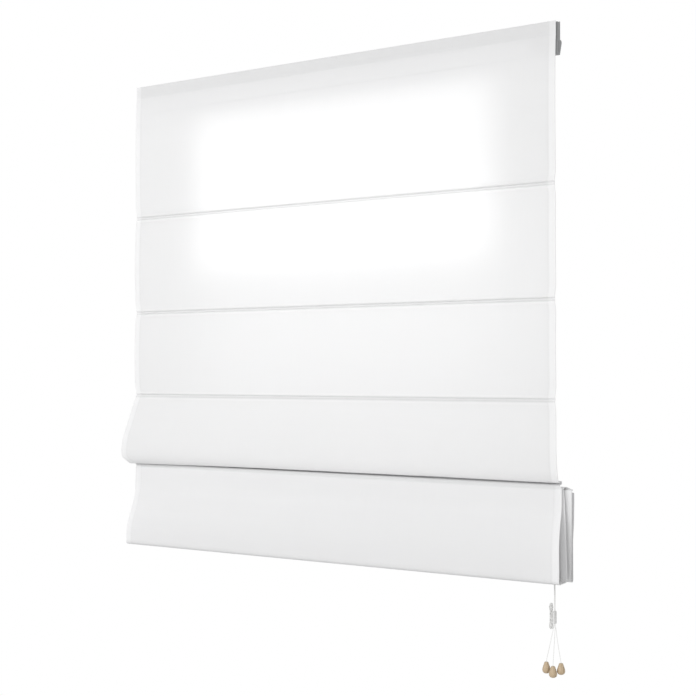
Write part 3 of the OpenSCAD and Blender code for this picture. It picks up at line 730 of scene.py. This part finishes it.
def fold_runs(share):
    """Runs of the stacked folds and the hem: points below the first rod, how loose the run hangs,
    its end's place in STACK_SWAY, and the painted shade at its start and end, darkest in the
    creases and gaps between the folds, and a painted highlight where below zero on the front face."""
    drop, front, rear = FOLD_DROP, FRONT_FOLD_OUT, REAR_FOLD_OUT
    rod_2, rod_3 = -ROD_PITCH, -2 * ROD_PITCH
    low = rod_3 - HEM_DROP
    crest = -TURN_R - 5.2 - 2.6 * share
    edge = 1.5 * EDGE_R
    pocket = low + POCKET_R
    face = [(mix(left, right, share), -part * drop) for part, left, right in FRONT_FACE]
    return [
        ([(0.0, SPLIT_UP)], 0.0, 0, (0.3, 0.3)),
        (arc((-TURN_R, 0), TURN_R, 0, -90, 6), 0.0, 0, (0.3, 0.3)),
        (arc((-11, crest), 6, 90, 172, 7), 0.0, 1, (1.0, 0.7)),
        (smooth([(-17.2, crest - 3)] + face + [(-front - EDGE_R, edge + 5 - drop)], 7),
         1.0, 2, (-0.5, -0.1)),
        (arc((edge - EDGE_R - front, edge - drop), edge, 180, 270, 8), 0.0, 2, (0.2, 1.0)),
        (smooth([(edge - EDGE_R + 1 - front, -drop), (BASE_U - BASE_R, BASE_UP - drop)], 4),
         0.0, 3, (0.5, 0.5)),
        (arc((BASE_U - BASE_R, BASE_R + BASE_UP - drop), BASE_R, 270, 360, 8), 0.0, 3, (0.5, 0.3)),
        (smooth([(BASE_U, BASE_R + BASE_UP + 6 - drop), (BASE_U + 0.6, -0.7 * drop),
                 (-14.5, -0.4 * drop), (-12.6, rod_2 - 16), (-12, rod_2 - 5)], 7),
         0.8, 4, (0.1, 0.1)),
        (arc((-8, rod_2 + TURN_R - 4), 4, 180, 90, 6), 0.0, 4, (0.3, 1.2)),
        (arc((-TURN_R, rod_2), TURN_R, 90, -90, 12), 0.0, 5, (1.2, 1.6)),
        (arc((-5, rod_2 - TURN_R - 2.5), 2.5, 90, 175, 6), 0.0, 5, (1.0, 0.1)),
        (smooth([(-7.6, rod_2 - TURN_R - 6), (-8.4, -0.36 * drop),
                 (-0.6 * (rear + EDGE_R) - 3, -0.68 * drop),
                 (-rear - EDGE_R, EDGE_R + 8 - drop)], 8),
         0.5, 6, (0.0, 1.8)),
        (arc((-rear, EDGE_R + 2 - drop), EDGE_R, 180, 360, 14), 0.0, 6, (1.6, 1.2)),
        (smooth([(EDGE_R - rear, EDGE_R + 8 - drop), (-0.5 * rear - 0.3, -0.66 * drop),
                 (-2 * TURN_R - 0.6, -0.36 * drop), (-2 * TURN_R, rod_3 - 8)], 8),
         0.4, 7, (1.2, 1.2)),
        (arc((-TURN_R, rod_3), TURN_R, 180, 0, 12), 0.0, 7, (1.2, 0.4)),
        (smooth([(0.1, rod_3 - 6), (0.8, -0.4 * drop), (2.6, low + 80), (HEM_U, low + 44),
                 (HEM_U, pocket + 4)], 7), 0.3, 8, (0.4, 0.3)),
        (arc((HEM_U + POCKET_R, pocket), POCKET_R, 180, 360, 12), 0.0, 8, (0.3, 0.3)),
        ([(HEM_U + 2 * POCKET_R, pocket + 10), (HEM_U + 2 * POCKET_R, pocket + BAR_H),
          (HEM_U + 3.0, pocket + BAR_H + 7), (HEM_U + 1.8, pocket + BAR_H + 9),
          (HEM_U + 1.8, pocket + BAR_H + 13)], 0.0, 8, (0.3, 0.3)),
    ]


def fold_profile(share, sizes):
    """Rows of the stacked folds and the hem, at a share of the width."""
    rows = []
    before = 0
    for points, loose, place, painted in fold_runs(share):
        hang = [mix(*STACK_SWAY[k], share) * sizes.drift / MM for k in (before, place)]
        before = place
        for i, (u, w) in enumerate(points):
            if rows and abs(rows[-1][0] - u) + abs(rows[-1][1] - ROD_4_Z - w) < 0.02:
                continue
            part = i / max(len(points) - 1, 1)
            rows.append((u, ROD_4_Z + w, loose * math.sin(math.pi * part),
                         mix(*hang, ease(0.0, 1.0, part)), mix(*painted, part)))
    return rows


# ---------------------------------------------------------------- cloth meshes

def ripple(x, s):
    """Soft unevenness of hung cloth, about -1 to 1, at a place and a run in metres."""
    broad = noise.noise(Vector((x / 0.19, s / 0.24, 3.1)))
    narrow = noise.noise(Vector((x / 0.065, s / 0.13, 7.7)))
    return broad + 0.35 * narrow


def hem_line():
    """Distance of the side hems' inner edge from the blind's middle."""
    return BLIND_W / 2 - SIDE_HEM_W


def cloth_columns():
    """Places across the width where the cloth has points, in millimetres."""
    half, hem = BLIND_W / 2, hem_line()
    inner = [-hem + 3 + i * (2 * hem - 6) / COLUMN_STEPS for i in range(COLUMN_STEPS + 1)]
    edge = [half, half - 0.5, half - 2.5, half - 6, half - 10, hem + 0.2, hem - 0.4]
    return [-x for x in edge] + inner + list(reversed(edge))


def cloth_run(profile, start):
    """Lengths along a profile, in metres, from a given start."""
    run = [start]
    for a, b in zip(profile, profile[1:]):
        run.append(run[-1] + math.hypot(a[0] - b[0], a[1] - b[1]) * MM)
    return run


def profile_tilt(profile, i):
    """Unit vector along a profile at a row: its depth, and its height turned round."""
    a = profile[max(i - 1, 0)]
    b = profile[min(i + 1, len(profile) - 1)]
    du, dz = b[0] - a[0], b[1] - a[1]
    size = math.hypot(du, dz) or 1.0
    return du / size, -dz / size


def cloth_point(x, row, run, sizes, tilt):
    """One point of the hung cloth, in metres."""
    u, z, slack, sway, _ = row
    nip = sum(math.exp(-((z - seam) / 16.0) ** 2) for seam in SEAMS)
    across = x * (1.0 - sizes.seam_nip / MM * nip / (BLIND_W / 2)) + sway
    wave = sizes.ripple / MM * slack * ripple(x * MM, run)
    return metres((across, FABRIC_Y + u - wave * tilt[1], z + wave * tilt[0]))


def cloth_parts(sizes):
    """The cloth's columns, and for each run its grid of points, lengths and painted shade and
    highlight.
    """
    columns = cloth_columns()
    parts = {name: ([], [], []) for name in CLOTH_RUNS}
    for x in columns:
        share = x / BLIND_W + 0.5
        start = 0.0
        profiles = (header_profile(), panel_profile(share, sizes), fold_profile(share, sizes))
        for (grid, runs, painted), profile in zip(parts.values(), profiles):
            run = cloth_run(profile, start)
            start = run[-1]
            grid.append([cloth_point(x, row, run[i], sizes, profile_tilt(profile, i))
                         for i, row in enumerate(profile)])
            runs.append(run)
            painted.append([row[4] for row in profile])
    return columns, parts


def grid_normal(grid, j, i):
    """Unit normal at a point of a grid, columns first, towards the back of the cloth."""
    wide, tall = len(grid), len(grid[0])
    down = grid[j][min(i + 1, tall - 1)] - grid[j][max(i - 1, 0)]
    side = grid[min(j + 1, wide - 1)][i] - grid[max(j - 1, 0)][i]
    return side.cross(down).normalized()


def shell(name, grid, runs, across, thick, extra, material, painted=None):
    """A closed thin shell on a grid of points, columns first, with a UV map and masks."""
    wide, tall = len(grid), len(grid[0])
    front, back, uv = [], [], []
    masks = {"hem": [], "held_light": [], "see_through": []}
    for j in range(wide):
        for i in range(tall):
            point, normal = grid[j][i], grid_normal(grid, j, i)
            front.append(point - normal * (thick / 2))
            back.append(point + normal * (thick / 2 + extra[j]))
            uv.append((across[j], runs[j][i]))
            clear = ease(HEADER_LOW, CLEAR_LOW, point.z / MM)
            masks["hem"].append(1.0 if extra[j] > 0 else 0.0)
            # Painted shade of each row, and painted highlight where it is below zero.
            masks["held_light"].append(painted[i] if painted else 0.0)
            masks["see_through"].append(mix(LINED_GLOW, 1.0, clear))
    count = len(front)

    def at(j, i):
        return j * tall + i

    faces = []
    for j in range(wide - 1):
        for i in range(tall - 1):
            quad = (at(j, i), at(j, i + 1), at(j + 1, i + 1), at(j + 1, i))
            faces.append(quad)
            faces.append(tuple(v + count for v in reversed(quad)))
    for i in range(tall - 1):
        for j in (0, wide - 1):
            a, b = at(j, i), at(j, i + 1)
            rim = (a, a + count, b + count, b)
            faces.append(rim if j == 0 else rim[::-1])
    for j in range(wide - 1):
        for i in (0, tall - 1):
            a, b = at(j, i), at(j + 1, i)
            rim = (a, b, b + count, a + count)
            faces.append(rim if i == 0 else rim[::-1])
    obj = new_object(name, front + back, faces, material, 50.0)
    set_uv(obj.data, uv + uv)
    for label, values in masks.items():
        mask = obj.data.attributes.new(label, "FLOAT", "POINT")
        mask.data.foreach_set("value", values + values)
    return obj


def gather(obj):
    """Give a piece of the panels a mesh of its own."""
    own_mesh(obj)


# ---------------------------------------------------------------- cord meshes

def tube(points, radius, sides):
    """A round tube along points, with caps and a UV map of turns and metres."""
    verts, uv = [], []
    turn = Vector((1.0, 0.0, 0.0))
    length = 0.0
    for i, point in enumerate(points):
        ahead = points[min(i + 1, len(points) - 1)] - points[max(i - 1, 0)]
        ahead.normalize()
        turn = (turn - ahead * turn.dot(ahead)).normalized()
        other = ahead.cross(turn)
        if i:
            length += (point - points[i - 1]).length
        for k, (cosine, sine) in enumerate(circle(sides)):
            verts.append(point + radius * (cosine * turn + sine * other))
            uv.append((k / sides if k <= sides / 2 else 1.0 - k / sides, length))
    faces = ring_faces(len(points), sides)
    last = len(verts) - sides
    faces.append(tuple(reversed(range(sides))))
    faces.append(tuple(last + k for k in range(sides)))
    return verts, faces, uv


def tube_object(name, lines, radius, sides, material):
    """One object of tubes along lines of points."""
    verts, faces, uv = [], [], []
    for points in lines:
        v, f, t = tube(points, radius, sides)
        faces += [tuple(i + len(verts) for i in face) for face in f]
        verts += v
        uv += t
    obj = new_object(name, verts, faces, material, 60.0)
    set_uv(obj.data, uv)
    return obj


def hank_path(d, start, loops):
    """The hank's folded runs, twisted together, from the end of the wrapping on."""
    fold_r, waist_r, twist = 3.0 * d, 2.3, 430.0
    step = 360.0 / (2 * loops + 1)
    nest = 1.08 * d
    foot = HANK_TOP - HANK_H + d / 2 + fold_r
    head = HANK_TOP - d / 2 - fold_r

    def at(angle, radius, z):
        a = math.radians(angle)
        return Vector((HANK_X + radius * math.cos(a), radius * math.sin(a), z))

    def fold(angle, z, way):
        """A half circle across the hank, from an angle to the opposite one."""
        half = [math.pi * k / 8 for k in range(9)]
        return [at(angle, fold_r * math.cos(a), z + way * fold_r * math.sin(a)) for a in half]

    def run(angle, spread, z0, z1):
        """One twisted run between two heights."""
        points = []
        for k in range(1, 16):
            z = mix(z0, z1, k / 16)
            share = (z - foot) / (head - foot)
            narrow = ease(0.0, 0.3, share) * (1.0 - ease(0.7, 1.0, share))
            turn = angle + twist * ease(0.0, 1.0, share) + spread * (1.0 - ease(0.0, 1.0, share))
            points.append(at(turn, mix(fold_r, waist_r, narrow), z))
        return points

    bend = [start, start + Vector((-1.6, 0.1, -0.3)), start + Vector((-3.0, 1.2, -1.7)),
            (HANK_X + fold_r, -0.3, foot + 1.5), (HANK_X + fold_r, 0.0, foot)]
    path = [Vector(p) for p in smooth([tuple(Vector(p)) for p in bend], 3)[1:-1]]
    path += fold(0.0, foot, -1)
    for n in range(loops):
        base, high = foot + nest * n, head - nest * n
        path += run(180.0 + step * n, 0.0, base, high)
        path += fold(180.0 + step * n + twist, high, 1)
        base += nest
        if n + 1 < loops:
            path += run(step * n, step, high, base)
            path += fold(step * (n + 1), base, -1)
        else:
            path += run(step * n, step, high, base)[:9]
    return path + [at(0.0, 0.0, path[-1].z - 7.0)]


# ---------------------------------------------------------------- stitches

def stitch_tree():
    """Geometry nodes that sew a row of stitches along each line of a mesh."""
    tree = bpy.data.node_groups.new("Stitch Rows", "GeometryNodeTree")
    for label, way, kind in (
            ("Geometry", "INPUT", "Geometry"), ("Pitch", "INPUT", "Float"),
            ("Stitch Length", "INPUT", "Float"), ("Thread Diameter", "INPUT", "Float"),
            ("Thread", "INPUT", "Material"), ("Geometry", "OUTPUT", "Geometry")):
        tree.interface.new_socket(label, in_out=way, socket_type="NodeSocket" + kind)
    nodes = Nodes(tree)
    given = nodes.add("NodeGroupInput").outputs
    curve = nodes.add("GeometryNodeMeshToCurve", inputs={"Mesh": given["Geometry"]}).outputs[0]
    points = nodes.add("GeometryNodeCurveToPoints", mode="LENGTH", inputs={
        "Curve": curve, "Length": given["Pitch"]}).outputs
    turn = nodes.add("FunctionNodeAlignRotationToVector", axis="Z", inputs={
        "Vector": points["Tangent"]}).outputs[0]
    bead = nodes.add("GeometryNodeMeshUVSphere", inputs={"Segments": 6, "Rings": 5, "Radius": 0.5})
    thick = given["Thread Diameter"]
    size = nodes.add("ShaderNodeCombineXYZ", inputs={
        0: thick, 1: thick, 2: given["Stitch Length"]}).outputs[0]
    sewn = nodes.add("GeometryNodeInstanceOnPoints", inputs={
        "Points": points["Points"], "Instance": bead.outputs["Mesh"], "Rotation": turn,
        "Scale": size}).outputs[0]
    real = nodes.add("GeometryNodeRealizeInstances", inputs={"Geometry": sewn}).outputs[0]
    even = nodes.add("GeometryNodeSetShadeSmooth", inputs={"Geometry": real}).outputs[0]
    done = nodes.add("GeometryNodeSetMaterial", inputs={
        "Geometry": even, "Material": given["Thread"]}).outputs[0]
    nodes.add("NodeGroupOutput", inputs={"Geometry": done})
    return tree


def sew(name, lines, tree, sizes, thread):
    """One mesh of stitches along lines of points."""
    verts, edges = [], []
    for points in lines:
        first = len(verts)
        verts += points
        edges += [(first + i, first + i + 1) for i in range(len(points) - 1)]
    mesh = bpy.data.meshes.new(name)
    mesh.from_pydata(verts, edges, [])
    obj = place_in_scene(name, mesh)
    sewing = obj.modifiers.new("Stitches", "NODES")
    sewing.node_group = tree
    values = {"Pitch": sizes.stitch_pitch, "Stitch Length": sizes.stitch_len,
              "Thread Diameter": sizes.stitch_d, "Thread": thread}
    for item in tree.interface.items_tree:
        if item.in_out == "INPUT" and item.name in values:
            sewing[item.identifier] = values[item.name]
    graph = bpy.context.evaluated_depsgraph_get()
    graph.update()
    made = bpy.data.meshes.new_from_object(obj.evaluated_get(graph))
    obj.modifiers.clear()
    obj.data = made
    bpy.data.meshes.remove(mesh)
    made.name = name
    return obj


# ---------------------------------------------------------------- operators

class BlindOperator:
    """Settings shared by the blind's operators"""

    bl_options = {"REGISTER", "UNDO"}

    @staticmethod
    def settings(context):
        """The scene's sizes, and its colours by name."""
        colours = context.scene.blind_colours
        return context.scene.blind_sizes, {
            name: tuple(getattr(colours, name)) for name in BlindColours.__annotations__}


class BLIND_OT_stage(BlindOperator, Operator):
    """Make the camera, the lamps, the white surroundings and the floor"""

    bl_idname = "blind.stage"
    bl_label = "Stage"

    def execute(self, context):
        _, colours = self.settings(context)
        scene = context.scene
        scene.view_settings.view_transform = "Standard"
        self.camera(scene)
        self.surroundings(scene)
        ring = [Vector((FLOOR_R * cosine, FLOOR_R * sine + FLOOR_Y, FLOOR_Z))
                for cosine, sine in circle(FLOOR_SIDES)]
        new_object("floor", ring, [tuple(range(FLOOR_SIDES))],
                            floor_material("floor_pale", colours["floor"]))
        for name, values in LAMPS.items():
            self.lamp(name, *values)
        return {"FINISHED"}

    @staticmethod
    def camera(scene):
        """The camera at the photograph's viewing angle."""
        data = bpy.data.cameras.new("Camera")
        data.lens = CAMERA_LENS
        data.sensor_width = 36.0
        data.clip_start = 0.05
        camera = place_in_scene("Camera", data)
        camera.location = CAMERA_PLACE
        yaw, pitch = math.radians(CAMERA_YAW), math.radians(CAMERA_PITCH)
        level = math.cos(pitch)
        look = Vector((-math.sin(yaw) * level, math.cos(yaw) * level, math.sin(pitch)))
        camera.rotation_euler = look.to_track_quat("-Z", "Y").to_euler()
        scene.camera = camera

    @staticmethod
    def surroundings(scene):
        """Soft even light, with white where the camera looks past the blind."""
        world = bpy.data.worlds.new("Surroundings")
        world.use_nodes = True
        world.node_tree.nodes.clear()
        nodes = Nodes(world.node_tree)
        path = nodes.add("ShaderNodeLightPath").outputs
        seen = nodes.math("MAXIMUM", path["Is Camera Ray"], nodes.math(
            "MAXIMUM", path["Is Glossy Ray"], path["Is Transmission Ray"]))
        soft, white = (nodes.add("ShaderNodeBackground", inputs={
            "Color": (1.0, 1.0, 1.0, 1.0), "Strength": strength}).outputs[0]
            for strength in (SOFT_LIGHT, 1.0))
        both = nodes.add("ShaderNodeMixShader", inputs={0: seen, 1: soft, 2: white}).outputs[0]
        nodes.add("ShaderNodeOutputWorld", inputs={"Surface": both})
        scene.world = world

    @staticmethod
    def lamp(name, place, aim, wide, tall, power, spread):
        """A soft area lamp that points at a place."""
        data = bpy.data.lights.new(name, "AREA")
        data.shape = "RECTANGLE"
        data.size = wide
        data.size_y = tall
        data.energy = power
        data.spread = math.radians(spread)
        obj = place_in_scene(name, data)
        obj.location = place
        way = Vector(aim) - Vector(place)
        obj.rotation_euler = way.to_track_quat("-Z", "Y").to_euler()
        obj.visible_camera = False


class BLIND_OT_knobs(BlindOperator, Operator):
    """Turn the three wooden knobs"""

    bl_idname = "blind.knobs"
    bl_label = "Knobs"

    def execute(self, context):
        _, colours = self.settings(context)
        wood = wood_material("turned_wood", colours["wood_pale"], colours["wood_dark"])
        r, h = KNOB_D / 2, KNOB_H
        outline = smooth([
            (0.3 * r, 0.0), (0.5 * r, 0.1), (0.78 * r, 0.08 * h), (0.95 * r, 0.18 * h),
            (r, 0.3 * h), (0.97 * r, 0.42 * h), (0.88 * r, 0.55 * h), (0.76 * r, 0.68 * h),
            (0.64 * r, 0.8 * h), (0.56 * r, 0.9 * h), (0.5 * r, 0.96 * h), (0.4 * r, 0.995 * h),
            (0.24 * r, h)], 3)
        hole, recess = 1.1, 2.2
        outline += [(hole, h - 0.6), (hole, 5.2), (recess, 5.0), (recess, 0.7)]
        for side, place in KNOB_TOPS.items():
            base = Vector(OUTLET) + Vector(place) - Vector((0, 0, h))
            verts = [metres(base + Vector((radius * cosine, radius * sine, z)))
                     for radius, z in outline for cosine, sine in circle(KNOB_SIDES)]
            faces = ring_faces(len(outline), KNOB_SIDES, closed=True)
            obj = new_object("wood_knob_" + side, verts, faces, wood, 50.0)
            attach(obj, "pull_knobs", "wood", "knob_" + side)
        return {"FINISHED"}


class BLIND_OT_cords(BlindOperator, Operator):
    """Make the pull cords, the tied hank of spare cord and the lift cords"""

    bl_idname = "blind.cords"
    bl_label = "Cords"

    def execute(self, context):
        sizes, colours = self.settings(context)
        braided = cord_material("braided_cord", colours["cord"], 0.94, 0.4)
        self.pull_cords(sizes, braided)
        # The hank's copy of the braided cord is darker between its strands: the braid's dark
        # joints, deepened as painted shade among the hank's loops.
        self.hank(sizes, cord_material("twisted_cord", colours["cord"], 0.55, 0.8))
        self.lift_cords(sizes, braided)
        dress(["rail_cords"], inner_cord_material("braided_cord_inner", colours["cord"]))
        return {"FINISHED"}

    @staticmethod
    def pull_cords(sizes, braided):
        """Three cords from the lock to the knobs."""
        for side, route in ROUTES.items():
            path = [metres(Vector(p) + Vector(OUTLET)) for p in smooth(route, 3)]
            fine = []
            for a, b in zip(path, path[1:]):
                steps = max(1, int((b - a).length / CORD_STEP))
                fine += [a.lerp(b, k / steps) for k in range(steps)]
            fine.append(path[-1])
            obj = tube_object("cord_" + side, [fine], sizes.cord_d / 2, CORD_SIDES, braided)
            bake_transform(obj)
            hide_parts("pull_cord_" + side)

    @staticmethod
    def hank(sizes, braided):
        """Spare cord wrapped round the three cords, then folded into a hank beside them."""
        d = sizes.cord_d / MM
        wrap_r, pitch, steps = 2.45, 1.06 * d, 14
        path = []
        for k in range(int((KNOT_H - 2) / pitch) * steps + 1):
            a = math.radians(-90) - 2 * math.pi * k / steps
            path.append(Vector((TIE_X + wrap_r * math.cos(a), wrap_r * math.sin(a),
                                TIE_TOP - 1 - pitch * k / steps)))
        path += hank_path(d, path[-1], sizes.hank_turns)
        path = [metres(p + Vector(OUTLET)) for p in path]
        obj = tube_object("cord_spare", [path], sizes.cord_d / 2, HANK_SIDES, braided)
        attach(obj, "pull_knobs", "cord", "cord_hank")

    @staticmethod
    def lift_cords(sizes, braided):
        """Three upright cords behind the cloth."""
        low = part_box("lift_cords")[0][2] / MM
        steps = 60
        lines = [[metres((x, y, mix(LIFT_TOP, low, k / steps))) for k in range(steps + 1)]
                 for x, y in zip(CORD_COLUMNS, CORD_LANES)]
        obj = tube_object("cords_lifting", lines, sizes.cord_d / 2, CORD_SIDES, braided)
        attach(obj, "headrail", "cord", "lift_cords")
        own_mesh(obj)


class BLIND_OT_cloth(BlindOperator, Operator):
    """Hang the fabric: on the rail, over the seams and in the stacked folds"""

    bl_idname = "blind.cloth"
    bl_label = "Cloth"

    def execute(self, context):
        sizes, colours = self.settings(context)
        single = cloth_material("white_cloth", colours["fabric"], CLOTH_THREADS, 1.0)
        folded = cloth_material(
            "white_cloth_folded", colours["fabric"], CLOTH_THREADS, 1.0, LINED_GLOW)
        columns, parts = cloth_parts(sizes)
        across = [x * MM for x in columns]
        extra = [sizes.hem_t if abs(x) > hem_line() else 0.0 for x in columns]
        middle = len(columns) // 2
        for name, (grid, runs, painted) in parts.items():
            body, how, lies_on, replaced = CLOTH_RUNS[name]
            obj = shell("cloth_" + name, grid, runs, across, sizes.fabric_t, extra,
                        single if name == "panels" else folded, painted[middle])
            attach(obj, body, "fabric", *replaced)
            if name == "panels":
                gather(obj)
        return {"FINISHED"}


class BLIND_OT_stitches(BlindOperator, Operator):
    """Sew the seams and hems"""

    bl_idname = "blind.stitches"
    bl_label = "Stitches"

    def execute(self, context):
        sizes, colours = self.settings(context)
        thread = thread_material("sewing_thread", colours["thread"])
        tree = stitch_tree()
        columns, parts = cloth_parts(sizes)
        sewn_at = hem_line() - 3
        sides = [min(range(len(columns)), key=lambda j: abs(columns[j] - edge))
                 for edge in (-sewn_at, sewn_at)]

        def row(grid, i):
            """A line across the front of the cloth, at one of its rows."""
            return [on_front(grid, j, i) for j in range(sides[0], sides[1] + 1)]

        def on_front(grid, j, i):
            return grid[j][i] - grid_normal(grid, j, i) * (sizes.fabric_t / 2)

        def nearest(grid, z):
            """The row nearest to a height."""
            return min(range(len(grid[0])), key=lambda i: abs(grid[len(grid) // 2][i].z - z * MM))

        grids = {name: grid for name, (grid, _, _) in parts.items()}
        heights = {
            "header": HEADER_SEWN, "folds": (),
            "panels": [seam - GROOVE_LOW + d for seam in SEAMS for d in (SEWN_OFF, -SEWN_OFF)]}
        for name, grid in grids.items():
            lines = [row(grid, nearest(grid, z)) for z in heights[name]]
            if name == "folds":
                lines.append(row(grid, len(grid[0]) - 2))
            lines += [[on_front(grid, j, i) for i in range(1, len(grid[0]) - 1)] for j in sides]
            obj = sew("stitches_" + name, lines, tree, sizes, thread)
            attach(obj, CLOTH_RUNS[name][0], "fabric")
            if name == "panels":
                gather(obj)
        return {"FINISHED"}


class BLIND_OT_tapes(BlindOperator, Operator):
    """Fold the sewn tapes round the rods"""

    bl_idname = "blind.tapes"
    bl_label = "Rod Tapes"

    def execute(self, context):
        _, colours = self.settings(context)
        cloth = cloth_material("tape_cloth", colours["fabric"], TAPE_THREADS, 0.6, 0.1)
        steps = 96
        columns = [mix(-TAPE_LEN / 2, TAPE_LEN / 2, k / steps) for k in range(steps + 1)]
        for number in range(1, 9):
            rod = "rod_%d" % number
            low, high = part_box(rod)
            y, z = (low[1] + high[1]) / 2 / MM, (low[2] + high[2]) / 2 / MM
            grid, runs = [], []
            for x in columns:
                wide = 2.62 + 0.12 * noise.noise(Vector((x / 28.0, number * 5.3, 1.7)))
                profile = [(4.45, -0.21), (3.7, -0.21), (3.1, -0.3)]
                profile += arc((0, 0), wide, -14, -346, 24)
                profile += [(3.1, 0.3), (3.7, 0.21), (4.45, 0.21)]
                if number in (5, 7):
                    points = [(x, y - b, z - a) for a, b in profile]
                else:
                    points = [(x, y - a, z + b) for a, b in profile]
                grid.append([metres(p) for p in points])
                runs.append(cloth_run(profile, 0.0))
            obj = shell("tape_%d" % number, grid, runs, [x * MM for x in columns], TAPE_T,
                        [0.0] * len(columns), cloth)
            attach(obj, rod if number <= len(SEAMS) else "stack", "tape", "rod_tape_%d" % number)
        return {"FINISHED"}


class BLIND_OT_rail(BlindOperator, Operator):
    """Finish the rail, its caps, brackets, strips and cord guides"""

    bl_idname = "blind.rail"
    bl_label = "Rail"

    def execute(self, context):
        _, colours = self.settings(context)
        dress(["headrail"], plastic_material("white_coat", colours["rail"], 0.42, 1800.0), 0.0003)
        dress(["end_cap_left", "end_cap_right"],
              plastic_material("grey_caps", colours["lock"], 0.5), 0.0004)
        dress(["wall_bracket_left", "wall_bracket_right"],
              metal_material("plated_steel", colours["steel"], 0.36), 0.0003)
        dress(["hook_strip", "loop_strip"], strip_material("fuzzy_strip", colours["plastic"]))
        dress(["cord_guide_left", "cord_guide_middle", "cord_guide_right"],
              plastic_material("white_guides", colours["plastic"], 0.45), 0.0002)
        return {"FINISHED"}


class BLIND_OT_lock(BlindOperator, Operator):
    """Finish the cord lock with its roller, pawl and pins"""

    bl_idname = "blind.lock"
    bl_label = "Cord Lock"

    def execute(self, context):
        _, colours = self.settings(context)
        dress(["lock_body"], plastic_material("grey_housing", colours["lock"], 0.5), 0.0006)
        dress(["lock_roller", "lock_pawl"],
              plastic_material("white_lock", colours["plastic"], 0.4), 0.0002)
        dress(["lock_pins"], metal_material("pin_steel", colours["steel"], 0.3))
        return {"FINISHED"}


class BLIND_OT_rods(BlindOperator, Operator):
    """Finish the rods, rings, cord stops and bottom bar"""

    bl_idname = "blind.rods"
    bl_label = "Rods and Rings"

    def execute(self, context):
        _, colours = self.settings(context)
        dress(["rod_%d" % k for k in range(1, 9)],
              plastic_material("glass_fibre", colours["rod"], 0.35, 900.0))
        white = plastic_material("white_rings", colours["plastic"], 0.42)
        dress(["rings_2", "rings_4", "rings_6", "rings_8", "cord_stops"], white, 0.0002)
        dress(["bar_cap_left", "bar_cap_right"], white, 0.0003)
        dress(["bottom_bar"], metal_material("bar_metal", colours["steel"], 0.4), 0.0004)
        return {"FINISHED"}


class BLIND_PT_panel(Panel):
    """Sidebar list of the blind's operators and settings"""

    bl_idname = "BLIND_PT_panel"
    bl_label = "Roman Blind"
    bl_space_type = "VIEW_3D"
    bl_region_type = "UI"
    bl_category = "Blind"

    def draw(self, context):
        layout = self.layout
        for operator in OPERATORS:
            layout.operator(operator.bl_idname)
        for group in (context.scene.blind_sizes, context.scene.blind_colours):
            box = layout.box()
            for name in group.__annotations__:
                box.prop(group, name)


OPERATORS = (
    BLIND_OT_stage, BLIND_OT_knobs, BLIND_OT_cords, BLIND_OT_cloth, BLIND_OT_stitches,
    BLIND_OT_tapes, BLIND_OT_rail, BLIND_OT_lock, BLIND_OT_rods)
CLASSES = (BlindSizes, BlindColours) + OPERATORS + (BLIND_PT_panel,)


def register():
    """Register the classes and the scene's settings."""
    for cls in CLASSES:
        bpy.utils.register_class(cls)
    bpy.types.Scene.blind_sizes = PointerProperty(type=BlindSizes)
    bpy.types.Scene.blind_colours = PointerProperty(type=BlindColours)


def unregister():
    """Remove the scene's settings and the classes."""
    del bpy.types.Scene.blind_colours
    del bpy.types.Scene.blind_sizes
    for cls in reversed(CLASSES):
        bpy.utils.unregister_class(cls)


def main():
    """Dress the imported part."""
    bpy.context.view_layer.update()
    register()
    bpy.ops.blind.stage()
    bpy.ops.blind.knobs()
    bpy.ops.blind.cords()
    bpy.ops.blind.cloth()
    bpy.ops.blind.stitches()
    bpy.ops.blind.tapes()
    bpy.ops.blind.rail()
    bpy.ops.blind.lock()
    bpy.ops.blind.rods()
    bpy.context.view_layer.update()


if __name__ == "__main__":
    main()
